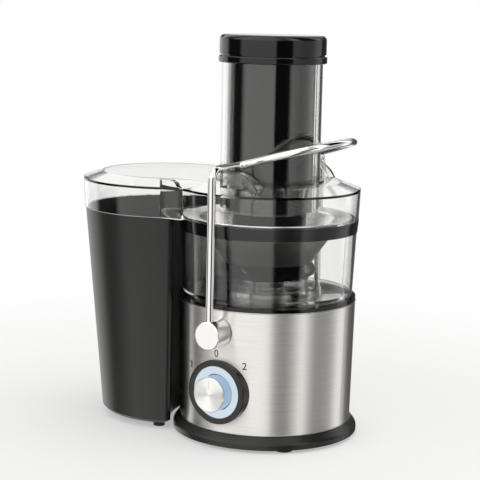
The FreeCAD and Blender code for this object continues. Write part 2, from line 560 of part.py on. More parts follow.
for circle in range(TOOTH_CIRCLES):
    reach = f"(tooth_reach + {circle} * tooth_step)"
    count = FIRST_TEETH + MORE_TEETH * circle
    for index, angle in enumerate(around(count, TOOTH_STAGGER * circle)):
        tooth = solid("Part::Wedge", f"tooth_{circle}_{index}", {
            "Xmin": "0", "Xmax": "tooth_length", "X2min": "tooth_length - tooth_crest",
            "X2max": "tooth_length",
            "Ymin": "0", "Ymax": "tooth_height", "Zmin": "0", "Zmax": "tooth_width",
            "Z2min": "(tooth_width - tooth_crest_width) / 2",
            "Z2max": "(tooth_width + tooth_crest_width) / 2"})
        lean = FreeCAD.Rotation(UP, angle + TOOTH_LEAN) * FreeCAD.Rotation(V(1, 0, 0), 90)
        tooth.Placement = FreeCAD.Placement(V(), lean)
        for axis, text in zip("xyz", (*polar(reach, angle), GRATER_TOP)):
            tooth.setExpression(f"Placement.Base.{axis}", bound(text))
        teeth.append(tooth)
node(join("grater_disc", [grater_plate] + teeth), "grater_disc")

# Juice bowl: clear moulding with a well round the drive, a sloping gutter and a pouring spout
WELL_IN = "(well_radius - bowl_wall)"
LEDGE = f"({DECK_TOP} + well_ledge)"
GUTTER_LOW = f"({DECK_TOP} + gutter_low)"
GUTTER_HIGH = f"({DECK_TOP} + gutter_high)"
BOWL_TOP = f"({COLLAR_TOP} - bowl_rim_drop)"
COLLAR_SEAT = "(collar_low_radius - collar_wall)"
BOWL_NECK = f"({COLLAR_SEAT} - collar_fit)"
bowl = turned("bowl_moulding", [
    (WELL_IN, f"{DECK_TOP} + well_skirt"), (WELL_IN, WELL_TOP), ("well_radius", WELL_TOP),
    ("well_radius", LEDGE), ("well_ledge_radius", LEDGE), ("well_ledge_radius + bowl_wall", GUTTER_LOW),
    ("bowl_low_radius - bowl_wall", GUTTER_HIGH), (f"{BOWL_NECK} - bowl_wall", COLLAR_LOW),
    (f"{BOWL_NECK} - bowl_wall", BOWL_TOP), (BOWL_NECK, BOWL_TOP), (BOWL_NECK, COLLAR_LOW),
    ("bowl_top_radius", COLLAR_LOW), ("bowl_low_radius", DECK_TOP),
    ("bowl_low_radius - bowl_wall", DECK_TOP),
    ("bowl_low_radius - bowl_wall", f"{GUTTER_HIGH} - bowl_wall"),
    ("well_ledge_radius", f"{GUTTER_LOW} - bowl_wall"),
    ("well_ledge_radius - bowl_wall", f"{LEDGE} - bowl_wall"),
    ("well_radius", f"{LEDGE} - bowl_wall"), ("well_radius", f"{DECK_TOP} + well_skirt")])
SPOUT_LEVEL = f"({DECK_TOP} + spout_height + bowl_wall)"
SPOUT_START = "(bowl_low_radius - bowl_wall / 2)"


def spout_bar(name, radius, start, end, level=SPOUT_LEVEL):
    """A bar lying along the spout's direction between two reaches from the motor axis."""
    turn = FreeCAD.Rotation(UP, size("spout_direction")) * FreeCAD.Rotation(V(0, 1, 0), 90)
    thing = rod(name, radius, f"{end} - ({start})", (*polar(start, "spout_direction"), level))
    thing.Placement = FreeCAD.Placement(thing.Placement.Base, turn)
    return thing


spout_outer = spout_bar("spout_outer", "spout_radius", SPOUT_START, "spout_reach")
spout_bore = spout_bar("spout_bore", "spout_radius - bowl_wall",
                       f"{SPOUT_START} - spout_run_in", "spout_reach + bowl_wall")
side_x, side_y = polar("spout_cut_width / 2", "spout_direction + 90")
front_x, front_y = polar("spout_closed_reach", "spout_direction")
spout_open = block("spout_open", ("spout_reach", "spout_cut_width", "spout_cut_height"),
                   (f"{front_x} - {side_x}", f"{front_y} - {side_y}", SPOUT_LEVEL),
                   (UP, size("spout_direction")))
node(cut("juice_bowl", join("bowl_with_spout", [bowl, spout_outer]), [spout_bore, spout_open]),
     "juice_bowl")

# Bowl collar: gloss black ring that sits on the bowl's shoulder and carries the lid
collar = turned("bowl_collar", [
    (COLLAR_SEAT, COLLAR_LOW), ("collar_low_radius", COLLAR_LOW), ("collar_top_radius", COLLAR_TOP),
    (COLLAR_SEAT, COLLAR_TOP)])
node(collar, "bowl_collar")


def arc(first, middle, last):
    """An edge on the circle through three points."""
    return Part.Arc(first, middle, last).toShape()


def touch(centre, other, reach):
    """The point at a reach from a centre, in the direction of another point."""
    return centre + (other - centre).normalize() * reach


def waist_centre(bowl_radius, lobe_radius, waist_radius):
    """Where the waist arcs of the lid's outline have their centres: along X, and to either side."""
    spacing = size("container_offset")
    bowl_reach = bowl_radius + waist_radius
    lobe_reach = lobe_radius + waist_radius
    across = (lobe_reach ** 2 - bowl_reach ** 2 - spacing ** 2) / (2 * spacing)
    return across, math.sqrt(bowl_reach ** 2 - across ** 2)


def two_lobe(bowl_radius, lobe_radius, waist_radius, level):
    """The lid's outline: a round lobe over the bowl, one over the container, and waist arcs."""
    spacing = size("container_offset")
    across, side = waist_centre(bowl_radius, lobe_radius, waist_radius)
    bowl_centre = V(0, 0, level)
    lobe_centre = V(-spacing, 0, level)
    ends = []
    waists = []
    for sign in (-1, 1):
        waist = V(across, sign * side, level)
        on_bowl = touch(bowl_centre, waist, bowl_radius)
        on_lobe = touch(lobe_centre, waist, lobe_radius)
        middle = touch(waist, (on_bowl + on_lobe) * 0.5, waist_radius)
        ends.append((on_bowl, on_lobe))
        waists.append(middle)
    front, rear = ends
    return Part.Wire([arc(front[0], V(bowl_radius, 0, level), rear[0]),
                      arc(rear[0], waists[1], rear[1]),
                      arc(rear[1], V(-spacing - lobe_radius, 0, level), front[1]),
                      arc(front[1], waists[0], front[0])])


def lid_body(inset, low, drop):
    """The lid's outside (no inset) or its hollow (inset by the wall, with its top dropped)."""
    extra = size("lid_lobe_extra")
    waist = size("lid_waist_radius")
    rim = size("lid_rim_radius") - inset
    foot = size("lid_skirt_radius") - inset
    flat = rim - size("lid_slope_width")
    sections = [(foot, low, inset), (rim, size(LID_RIM) - drop, inset),
                (flat, size(LID_FLAT) - drop, inset + size("lid_slope_width"))]
    wires = [two_lobe(radius, radius + extra, waist + grown, level)
             for radius, level, grown in sections]
    skirt_part = Part.makeLoft(wires[:2], True, True)
    return skirt_part.fuse(Part.makeLoft(wires[1:], True, True))


def ramp(inset):
    """A quarter-round ramp beside the tube, on which the locking arm slides up and rests."""
    top = size("arm_pivot_height + arm_height - arm_rod_radius - ramp_clearance") - inset
    low = size(f"{LID_RIM} - lid_wall")
    flat = size("ramp_flat")
    far = size("ramp_length") - inset
    back = -size("ramp_back") + inset
    crest = V(flat + (far - flat) * math.sqrt(0.5), 0, low + (top - low) * math.sqrt(0.5))
    edges = [Part.makeLine(V(far, 0, low), V(back, 0, low)), Part.makeLine(V(back, 0, low), V(back, 0, top)),
             Part.makeLine(V(back, 0, top), V(flat, 0, top)), arc(V(flat, 0, top), crest, V(far, 0, low))]
    face = Part.Face(Part.Wire(edges))
    face.translate(V(0, size("ramp_reach") - inset, 0))
    half = face.extrude(V(0, 2 * inset - size("ramp_width"), 0))
    return half.fuse(half.mirror(V(), V(0, 1, 0)))


def lug():
    """A lug in the front waist of the lid, its top flat and then falling in an S of two arcs."""
    rim = size("lid_rim_radius")
    waist = size("lid_waist_radius")
    across, side = waist_centre(rim, rim + size("lid_lobe_extra"), waist)
    front = waist - side - size("lug_stand")
    left = across - size("lug_shift") - size("lug_width / 2")
    right = left + size("lug_width")
    low = size(COLLAR_TOP)
    high = size(f"{LID_RIM} + lug_rise")
    run = size("lug_curve / 2")
    fall = size("lug_rise / 2")
    bend = (run ** 2 + fall ** 2) / (2 * fall)
    turn = math.atan2(fall, run)
    along = bend * math.sin(turn)
    down = bend * (1 - math.cos(turn))
    start = right - 2 * run
    middle = V(start + run, front, high - fall)
    edges = [Part.makeLine(V(left, front, low), V(left, front, high)),
             Part.makeLine(V(left, front, high), V(start, front, high)),
             arc(V(start, front, high), V(start + along, front, high - down), middle),
             arc(middle, V(right - along, front, high - 2 * fall + down), V(right, front, high - 2 * fall)),
             Part.makeLine(V(right, front, high - 2 * fall), V(right, front, low)),
             Part.makeLine(V(right, front, low), V(left, front, low))]
    return Part.Face(Part.Wire(edges)).extrude(V(0, size("lug_depth"), 0))


# Lid: clear moulding over the bowl and the container, with the arm's ramps, a lug in its front
# waist and a hole for the tube
wall = size("lid_wall")
flat_top = size(LID_FLAT)
outside = lid_body(0, size(COLLAR_TOP), 0).fuse(ramp(0)).fuse(lug())
hollow = lid_body(wall, size(COLLAR_TOP), wall).fuse(ramp(size("ramp_wall")))
tube_hole = Part.makeCylinder(size("tube_radius + tube_fit"), size("arm_height"), V(0, 0, size(COLLAR_TOP)))
ring_seat = Part.makeCylinder(size("tube_radius + tube_ring_width + tube_fit"),
                              size("tube_ring_height + tube_fit"), V(0, 0, flat_top))
lid = doc.addObject("Part::Feature", "lid")
lid.Shape = outside.cut(hollow).cut(tube_hole.fuse(ring_seat)).removeSplitter()
node(lid, "lid")

# Feed tube: clear tube through the lid, bonded by the ring that lies on the lid's flat top
TUBE_IN = "(tube_radius - tube_wall)"
TUBE_RING = "(tube_radius + tube_ring_width)"
node(turned("feed_tube", [
    (TUBE_IN, TUBE_END), ("tube_radius", TUBE_END), ("tube_radius", LID_FLAT), (TUBE_RING, LID_FLAT),
    (TUBE_RING, f"{LID_FLAT} + tube_ring_height"), ("tube_radius", f"{LID_FLAT} + tube_ring_height"),
    ("tube_radius", TUBE_TOP), (TUBE_IN, TUBE_TOP)]), "feed_tube")

# Pusher: black cup in the feed tube, with a narrower nose under the tube's end, closed by a
# gloss cap that rests on the tube's rim
PUSHER_OUT = f"({TUBE_IN} - pusher_clearance)"
PUSHER_IN = f"({PUSHER_OUT} - pusher_wall)"
NOSE_OUT = f"({PUSHER_OUT} - nose_step)"
NOSE_IN = f"({PUSHER_IN} - nose_step)"
SHOULDER = f"({TUBE_END} + shoulder_above_end)"
PUSHER_LOW = f"({SHOULDER} - nose_length)"
CAP_LOW = f"({TUBE_TOP} + cap_seat)"
CAP_TOP = f"({TUBE_TOP} + cap_height)"
pusher = turned("pusher_body", [
    ("0", PUSHER_LOW), (NOSE_OUT, PUSHER_LOW), (NOSE_OUT, SHOULDER), (PUSHER_OUT, SHOULDER),
    (PUSHER_OUT, CAP_LOW), (PUSHER_IN, CAP_LOW), (PUSHER_IN, f"{SHOULDER} + pusher_wall"),
    (NOSE_IN, f"{SHOULDER} + pusher_wall"), (NOSE_IN, f"{PUSHER_LOW} + pusher_wall"),
    ("0", f"{PUSHER_LOW} + pusher_wall")])
rounded(pusher, [(NOSE_OUT, PUSHER_LOW)], "pusher_edge")
node(pusher, "pusher_body")
PLUG = f"({PUSHER_IN} - cap_plug_fit)"
FLANGE_TOP = f"({CAP_LOW} + cap_flange_height)"
cap = turned("pusher_cap", [
    ("0", f"{CAP_TOP} - cap_wall"), (f"{PLUG} - cap_wall", f"{CAP_TOP} - cap_wall"),
    (f"{PLUG} - cap_wall", f"{CAP_LOW} - cap_plug_depth"), (PLUG, f"{CAP_LOW} - cap_plug_depth"),
    (PLUG, CAP_LOW), ("cap_radius", CAP_LOW), ("cap_radius", FLANGE_TOP),
    ("cap_body_radius - cap_groove", FLANGE_TOP),
    ("cap_body_radius - cap_groove", f"{FLANGE_TOP} + cap_groove"),
    ("cap_body_radius", f"{FLANGE_TOP} + cap_groove"), ("cap_body_radius", CAP_TOP), ("0", CAP_TOP)])
rounded(cap, [("cap_body_radius", CAP_TOP)], "cap_edge")
rounded(cap, [("cap_radius", FLANGE_TOP), ("cap_radius", CAP_LOW)], "cap_groove")
node(cap, "pusher_cap")


def crescent(offset, radius, hug_radius, corner, level):
    """The container's outline: a round back, a front that hugs the base, and rounded horns."""
    back_centre = V(-offset, 0, level)
    axis = V(0, 0, level)
    across = ((radius - corner) ** 2 - (hug_radius + corner) ** 2 - offset ** 2) / (2 * offset)
    side = math.sqrt((hug_radius + corner) ** 2 - across ** 2)
    on_back = []
    on_hug = []
    tips = []
    for sign in (-1, 1):
        horn = V(across, sign * side, level)
        on_back.append(touch(back_centre, horn, radius))
        on_hug.append(touch(axis, horn, hug_radius))
        tips.append(touch(horn, (on_back[-1] + on_hug[-1]) * 0.5, corner))
    return Part.Wire([arc(on_back[0], V(-offset - radius, 0, level), on_back[1]),
                      arc(on_back[1], tips[1], on_hug[1]),
                      arc(on_hug[1], V(-hug_radius, 0, level), on_hug[0]),
                      arc(on_hug[0], tips[0], on_back[0])])


def container_body(inset, low, top):
    """The container's outside or its hollow: a tapering crescent with a chamfered foot."""
    chamfer = size("container_chamfer")
    corner = size("container_corner") - inset
    hug = size("container_hug_radius") + inset
    low_offset = size("container_low_offset")
    low_radius = size("container_low_radius") - inset
    wires = [crescent(low_offset, low_radius - chamfer, hug + chamfer, corner, low),
             crescent(low_offset, low_radius, hug, corner, low + chamfer),
             crescent(size("container_offset"), size("container_top_radius") - inset, hug, corner, top)]
    return Part.makeLoft(wires[:2], True, True).fuse(Part.makeLoft(wires[1:], True, True))


# Pulp container: black bucket that stands beside the base under the lid's second lobe
container = doc.addObject("Part::Feature", "pulp_container")
bucket_wall = size("container_wall")
bucket = container_body(0, size("container_bottom"), size(CONTAINER_TOP))
inside = container_body(bucket_wall, size("container_bottom") + bucket_wall, size(CONTAINER_TOP))
container.Shape = bucket.cut(inside).removeSplitter()
node(container, "pulp_container")

# Container pads: small feet under the bucket
pads = []
for name, reach, side in (("inner", "pad_inner_reach", "pad_inner_side"),
                          ("outer", "pad_outer_reach", "pad_outer_side")):
    for sign in ("-", ""):
        pads.append(rod(f"pad_{name}_{'front' if sign else 'rear'}", "pad_radius",
                        "container_bottom - pad_gap", (f"-{reach}", f"{sign}{side}", "pad_gap")))
node(group("container_feet", pads), "container_feet")


def bend(before, corner, after, radius):
    """Where a bend of a radius starts, its middle and its end, at a corner of a route."""
    back = (before - corner).normalize()
    ahead = (after - corner).normalize()
    half = back.getAngle(ahead) / 2
    centre = corner + (back + ahead).normalize() * (radius / math.sin(half))
    reach = radius / math.tan(half)
    return corner + back * reach, touch(centre, corner, radius), corner + ahead * reach


# Locking arm: one chromed rod, up both sides of the bowl, over the ramps and round the tube
side = size("arm_side")
top = size("arm_pivot_height + arm_height")
half_width = size("loop_half_width")
slope = math.radians(size("loop_slope"))
rise = V(math.cos(slope), 0, math.sin(slope))
foot = V(0, -side, size("arm_pivot_height + arm_hub_radius - rod_depth"))
shoulder = V(0, -side, top)
inner = V(0, -half_width, top)
turn_start = inner + rise * size("loop_straight")
apex = V(0, 0, top) + rise * (size("loop_straight") + half_width)
first = bend(foot, shoulder, inner, size("arm_bend"))
second = bend(shoulder, inner, turn_start, size("arm_bend"))


def rear(point):
    """The same point on the rear side."""
    return V(point.x, -point.y, point.z)


front_edges = [Part.makeLine(foot, first[0]), arc(*first), Part.makeLine(first[2], second[0]),
               arc(*second), Part.makeLine(second[2], turn_start)]
rear_edges = [Part.makeLine(rear(turn_start), rear(second[2])), arc(*map(rear, reversed(second))),
              Part.makeLine(rear(second[0]), rear(first[2])), arc(*map(rear, reversed(first))),
              Part.makeLine(rear(first[0]), rear(foot))]
route = Part.Wire(front_edges + [arc(turn_start, apex, rear(turn_start))] + rear_edges)
section = Part.Wire(Part.makeCircle(size("arm_rod_radius"), foot, UP))
arm = doc.addObject("Part::Feature", "locking_arm")
arm.Shape = route.makePipeShell([section], True, False)
node(arm, "locking_arm")

# Arm hubs on their pivot pins, one on each side of the base
HUB_BACK = f"({sleeve_radius('arm_pivot_height')} + arm_hub_gap)"
PIN_HEAD = f"({housing_bore('arm_pivot_height')} - seat_gap)"
for label, turn, sign in (("front", TO_FRONT, "-"), ("rear", TO_REAR, "")):
    barrel = rod(f"hub_barrel_{label}", "arm_hub_radius", f"arm_hub_face - {HUB_BACK}",
                 ("0", f"{sign}{HUB_BACK}", "arm_pivot_height"), turn)
    doc.recompute()
    barrel_round = doc.addObject("Part::Fillet", f"hub_round_{label}")
    barrel_round.Base = barrel
    face_edges = [number for number, edge in enumerate(barrel.Shape.Edges, start=1)
                  if edge.Closed and abs(abs(edge.CenterOfMass.y) - size("arm_hub_face")) < SAME]
    barrel_round.Edges = [(number, size("arm_hub_edge"), size("arm_hub_edge")) for number in face_edges]
    pin_bore = rod(f"hub_pin_bore_{label}", "pin_radius + pin_fit", "pin_end + rod_fit", PIN_AXIS, turn)
    rod_bore = rod(f"hub_rod_bore_{label}", "arm_rod_radius + rod_fit", "arm_hub_radius",
                   ("0", f"{sign}arm_side", "arm_pivot_height + arm_hub_radius - rod_depth - rod_fit"))
    node(cut(f"arm_hub_{label}", barrel_round, [pin_bore, rod_bore]), f"arm_hub_{label}")
    shank = rod(f"pin_shank_{label}", "pin_radius", f"pin_end - {PIN_HEAD} + pin_head_thickness",
                ("0", f"{sign}({PIN_HEAD} - pin_head_thickness)", "arm_pivot_height"), turn)
    head = rod(f"pin_head_{label}", "pin_head_radius", "pin_head_thickness",
               ("0", f"{sign}({PIN_HEAD} - pin_head_thickness)", "arm_pivot_height"), turn)
    node(join(f"pivot_pin_{label}", [shank, head]), f"pivot_pin_{label}")

# Speed control: bezel, lit ring, knob with its spun cap, spindle, switch and lamp board
sleeve_cone = solid("Part::Cone", "sleeve_cone", {
    "Radius1": "sleeve_low_radius + skin_clearance", "Radius2": "sleeve_top_radius + skin_clearance",
    "Height": "sleeve_height"}, ("0", "0", SKIRT_TOP))
BEZEL_BORE = "(bezel_radius - bezel_width)"
bezel_tube = rod("bezel_tube", "bezel_radius", "bezel_root", ("0", "bezel_root - bezel_front", "knob_level"),
                 TO_FRONT)
doc.recompute()
bezel_round = doc.addObject("Part::Fillet", "bezel_round")
bezel_round.Base = bezel_tube
bezel_round.Edges = [(number, size("bezel_edge"), size("bezel_edge"))
                     for number, edge in enumerate(bezel_tube.Shape.Edges, start=1)
                     if edge.Closed and abs(edge.CenterOfMass.y + size("bezel_front")) < SAME]
bezel_hole = rod("bezel_hole", BEZEL_BORE, "arm_side", KNOB_AXIS, TO_FRONT)
node(cut("knob_bezel", bezel_round, [bezel_hole, sleeve_cone]), "knob_bezel")
lamp_disc = rod("lamp_disc", f"{BEZEL_BORE} - lamp_clearance", "lamp_thickness",
                ("0", "lamp_thickness - lamp_front", "knob_level"), TO_FRONT)
lamp_hole = rod("lamp_hole", "knob_radius + knob_clearance", "arm_side", KNOB_AXIS, TO_FRONT)
node(cut("light_ring", lamp_disc, [lamp_hole]), "light_ring")
barrel = rod("knob_barrel", "knob_radius", "knob_front - knob_back", ("0", "-knob_back", "knob_level"),
             TO_FRONT)
spindle_bore = rod("knob_bore", "spindle_radius + spindle_fit", "spindle_end + spindle_fit", KNOB_AXIS,
                   TO_FRONT)
node(cut("speed_knob", barrel, [spindle_bore]), "speed_knob")
cap_disc = rod("knob_cap_disc", "knob_radius", "knob_cap_thickness", ("0", "-knob_front", "knob_level"),
               TO_FRONT)
doc.recompute()
cap_round = doc.addObject("Part::Fillet", "knob_cap")
cap_round.Base = cap_disc
cap_round.Edges = [(number, size("knob_edge"), size("knob_edge"))
                   for number, edge in enumerate(cap_disc.Shape.Edges, start=1)
                   if edge.Closed and edge.CenterOfMass.y < -size("knob_front + knob_cap_thickness / 2")]
node(cap_round, "knob_cap")
SWITCH_FRONT = f"(sqrt({housing_bore('knob_level')} ^ 2 - (switch_width / 2) ^ 2) - seat_gap)"
switch_case = block("switch_case", ("switch_width", "switch_depth", "switch_width"),
                    ("-switch_width / 2", f"-{SWITCH_FRONT}", "knob_level - switch_width / 2"))
switch_bore = rod("switch_bore", "spindle_radius + spindle_fit", "spindle_depth + spindle_fit",
                  ("0", f"spindle_depth + spindle_fit - {SWITCH_FRONT}", "knob_level"), TO_FRONT)
node(cut("rotary_switch", switch_case, [switch_bore]), "rotary_switch")
node(rod("switch_spindle", "spindle_radius", f"spindle_end - {SWITCH_FRONT} + spindle_depth",
         ("0", f"spindle_depth - {SWITCH_FRONT}", "knob_level"), TO_FRONT), "switch_spindle")
board_disc = rod("board_disc", "board_radius", "board_thickness", ("0", f"-{SWITCH_FRONT}", "knob_level"),
                 TO_FRONT)
board_hole = rod("board_hole", "board_bore", "arm_side", KNOB_AXIS, TO_FRONT)
node(cut("light_board", board_disc, [board_hole]), "light_board")

# Interlock switch: small case on the housing's wall beside the front pin
INTERLOCK_FAR = "(interlock_side + interlock_width)"
INTERLOCK_FRONT = (f"(sqrt({housing_bore('arm_pivot_height - interlock_height / 2')} ^ 2"
                   f" - {INTERLOCK_FAR} ^ 2) - seat_gap)")
interlock_case = block("interlock_case", ("interlock_width", "interlock_depth", "interlock_height"),
                       ("interlock_side", f"-{INTERLOCK_FRONT}",
                        "arm_pivot_height - interlock_height / 2"))
node(group("interlock_switch", [interlock_case]), "interlock_switch")

# Cord gland: flanged bush through the rear of the base, where the mains lead would come in
GLAND_SEAT = f"({sleeve_radius('gland_level + gland_flange_radius')} + skin_clearance)"
gland_body = rod("gland_body", "gland_radius", "gland_inside + gland_flange_thickness",
                 ("0", f"{GLAND_SEAT} - gland_inside", "gland_level"), TO_REAR)
gland_flange = rod("gland_flange", "gland_flange_radius", "gland_flange_thickness",
                   ("0", GLAND_SEAT, "gland_level"), TO_REAR)
gland_hole = rod("gland_hole", "gland_bore", "arm_side", GLAND_AXIS, TO_REAR)
node(cut("cord_gland", join("gland_turning", [gland_body, gland_flange]), [gland_hole]), "cord_gland")

# Every shape is checked before any file is written
doc.recompute()
faults = [thing.Label for thing in doc.Objects if {"Invalid", "Error"} & set(thing.State)]
for piece in NODES:
    if piece.Shape.isNull() or not piece.Shape.isValid() or not piece.Shape.Solids:
        faults.append(piece.Label)
if faults:
    raise RuntimeError("bad shapes: " + ", ".join(faults))
os.makedirs("parts", exist_ok=True)
for piece in NODES:
    piece.Shape.exportStep(f"parts/{piece.Label}.step")
print(len(NODES), "pieces written")
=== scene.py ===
import math

import bpy
import numpy as np
from mathutils import Matrix, Vector


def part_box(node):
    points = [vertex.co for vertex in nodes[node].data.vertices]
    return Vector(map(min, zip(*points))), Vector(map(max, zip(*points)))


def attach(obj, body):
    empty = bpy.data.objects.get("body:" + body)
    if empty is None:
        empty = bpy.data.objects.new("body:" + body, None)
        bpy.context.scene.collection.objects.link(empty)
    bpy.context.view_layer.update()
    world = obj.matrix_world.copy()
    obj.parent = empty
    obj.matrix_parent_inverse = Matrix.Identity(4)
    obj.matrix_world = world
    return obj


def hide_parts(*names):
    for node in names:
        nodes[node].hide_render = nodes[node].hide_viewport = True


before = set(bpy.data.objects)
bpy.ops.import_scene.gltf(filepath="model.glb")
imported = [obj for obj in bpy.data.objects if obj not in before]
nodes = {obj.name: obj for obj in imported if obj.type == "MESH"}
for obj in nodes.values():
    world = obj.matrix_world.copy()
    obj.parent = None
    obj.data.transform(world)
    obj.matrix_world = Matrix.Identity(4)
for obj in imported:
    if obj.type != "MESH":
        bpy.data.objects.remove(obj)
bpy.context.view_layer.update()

# Base skirt and motor housing: black ABS mouldings with a fine spark-eroded grain.
# The skirt is the foot of the base, and the housing stands in it and backs the steel.
shaft_low, shaft_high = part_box("motor_shaft")
AXIS_X = (shaft_low.x + shaft_high.x) / 2


def linear(code):
    """An sRGB hex colour as linear red, green, blue and alpha."""
    parts = [int(code[i:i + 2], 16) / 255 for i in (1, 3, 5)]
    return [c / 12.92 if c <= 0.04045 else ((c + 0.055) / 1.055) ** 2.4 for c in parts] + [1.0]


def add(tree, kind, inputs=None, **settings):
    """A node of a kind, with its settings, and each input set to a value or linked to a socket."""
    made = tree.nodes.new(kind)
    for key, value in settings.items():
        setattr(made, key, value)
    for key, value in (inputs or {}).items():
        if isinstance(value, bpy.types.NodeSocket):
            tree.links.new(value, made.inputs[key])
        else:
            made.inputs[key].default_value = value
    return made


def finish_named(name):
    """An empty material of a name: its tree and its output node."""
    material = bpy.data.materials.new(name)
    material.use_nodes = True
    material.node_tree.nodes.clear()
    return material, material.node_tree, add(material.node_tree, "ShaderNodeOutputMaterial")


def dress(material, *names):
    """Give a finish to the slots of CAD nodes."""
    for name in names:
        nodes[name].data.materials.clear()
        nodes[name].data.materials.append(material)


# Moulded satin ABS: a soft grey sheen, broken by a grain of about 1 mm, coarser than the real
# 0.3 mm so that it shows.
SATIN_GRAIN = 1.1
SATIN_CLOUD = 35.0
satin_abs, tree, output = finish_named("satin_black_abs")
place = add(tree, "ShaderNodeTexCoord").outputs["Object"]
grain = add(tree, "ShaderNodeTexNoise", {"Vector": place, "Scale": 1000 / SATIN_GRAIN, "Detail": 3.0})
cloud = add(tree, "ShaderNodeTexNoise", {"Vector": place, "Scale": 1000 / SATIN_CLOUD, "Detail": 2.0})
sheen = add(tree, "ShaderNodeMapRange", {"Value": grain.outputs["Fac"], "To Min": 0.27, "To Max": 0.38})
tone = add(tree, "ShaderNodeValToRGB", {"Fac": cloud.outputs["Fac"]})
tone.color_ramp.elements[0].color = linear("#121211")
tone.color_ramp.elements[1].color = linear("#191817")
relief = add(tree, "ShaderNodeBump", {"Height": grain.outputs["Fac"], "Strength": 0.12, "Distance": 0.0001})
shader = add(tree, "ShaderNodeBsdfPrincipled", {
    "Base Color": tone.outputs["Color"], "Roughness": sheen.outputs["Result"], "IOR": 1.48,
    "Normal": relief.outputs["Normal"]})
tree.links.new(shader.outputs["BSDF"], output.inputs["Surface"])
dress(satin_abs, "base_skirt", "motor_housing")

# Rubber feet, gland and shaft seal: moulded rubber, dull, pushed or glued into place.
RUBBER_GRAIN = 0.8
rubber, tree, output = finish_named("moulded_rubber")
place = add(tree, "ShaderNodeTexCoord").outputs["Object"]
grain = add(tree, "ShaderNodeTexNoise", {"Vector": place, "Scale": 1000 / RUBBER_GRAIN, "Detail": 4.0})
dust = add(tree, "ShaderNodeValToRGB", {"Fac": grain.outputs["Fac"]})
dust.color_ramp.elements[0].color = linear("#131312")
dust.color_ramp.elements[1].color = linear("#23221f")
relief = add(tree, "ShaderNodeBump", {"Height": grain.outputs["Fac"], "Strength": 0.2, "Distance": 0.0001})
shader = add(tree, "ShaderNodeBsdfPrincipled", {
    "Base Color": dust.outputs["Color"], "Roughness": 0.75, "IOR": 1.52, "Normal": relief.outputs["Normal"]})
tree.links.new(shader.outputs["BSDF"], output.inputs["Surface"])
dress(rubber, "rubber_feet", "container_feet", "shaft_seal", "cord_gland")

# Turned and plated steel: screws, pins, bearings, shaft, coupling and spindle, fine lathe marks.
LATHE_PITCH = 0.6
turned_steel, tree, output = finish_named("turned_plated_steel")
place = add(tree, "ShaderNodeTexCoord").outputs["Object"]
marks = add(tree, "ShaderNodeTexNoise", {"Vector": place, "Scale": 1000 / LATHE_PITCH, "Detail": 2.0})
sheen = add(tree, "ShaderNodeMapRange", {"Value": marks.outputs["Fac"], "To Min": 0.18, "To Max": 0.34})
relief = add(tree, "ShaderNodeBump", {"Height": marks.outputs["Fac"], "Strength": 0.08, "Distance": 0.00005})
shader = add(tree, "ShaderNodeBsdfPrincipled", {
    "Base Color": linear("#c4c3c1"), "Metallic": 1.0, "Roughness": sheen.outputs["Result"],
    "Normal": relief.outputs["Normal"]})
tree.links.new(shader.outputs["BSDF"], output.inputs["Surface"])
dress(turned_steel, "base_screws", "upper_bearing", "lower_bearing", "motor_shaft", "drive_coupling",
      "pivot_pin_front", "pivot_pin_rear", "switch_spindle")

# Motor: stacked laminations, enamelled copper coils, die-cast brackets, nylon holders and fan.
# All of it is inside the base, so each finish is a short one.
MOTOR_FINISHES = (
    ("stacked_laminations", "#6d6e70", "#8a8b8d", 1.0, 0.45, 0.5, ("motor_stator", "motor_rotor")),
    ("enamelled_copper", "#8f4a22", "#c87a45", 1.0, 0.3, 0.9, ("field_windings", "commutator")),
    ("die_cast_aluminium", "#8b8b8b", "#b5b5b4", 1.0, 0.5, 1.2, ("upper_bracket", "lower_bracket")),
    ("moulded_nylon", "#b7b2a6", "#c9c5ba", 0.0, 0.5, 1.5,
     ("brush_holders", "cooling_fan", "rotary_switch", "interlock_switch")),
    ("pressed_carbon", "#1a1a1a", "#2c2c2c", 0.0, 0.7, 0.6, ("carbon_brushes",)),
    ("circuit_board", "#17502b", "#226a3c", 0.0, 0.4, 3.0, ("light_board",)))
for name, dark, light, metal, rough, grain_size, members in MOTOR_FINISHES:
    inner, tree, output = finish_named(name)
    place = add(tree, "ShaderNodeTexCoord").outputs["Object"]
    grain = add(tree, "ShaderNodeTexNoise", {"Vector": place, "Scale": 1000 / grain_size, "Detail": 3.0})
    tone = add(tree, "ShaderNodeValToRGB", {"Fac": grain.outputs["Fac"]})
    tone.color_ramp.elements[0].color = linear(dark)
    tone.color_ramp.elements[1].color = linear(light)
    relief = add(tree, "ShaderNodeBump", {
        "Height": grain.outputs["Fac"], "Strength": 0.2, "Distance": 0.0001})
    shader = add(tree, "ShaderNodeBsdfPrincipled", {
        "Base Color": tone.outputs["Color"], "Metallic": metal, "Roughness": rough,
        "Normal": relief.outputs["Normal"]})
    tree.links.new(shader.outputs["BSDF"], output.inputs["Surface"])
    dress(inner, *members)

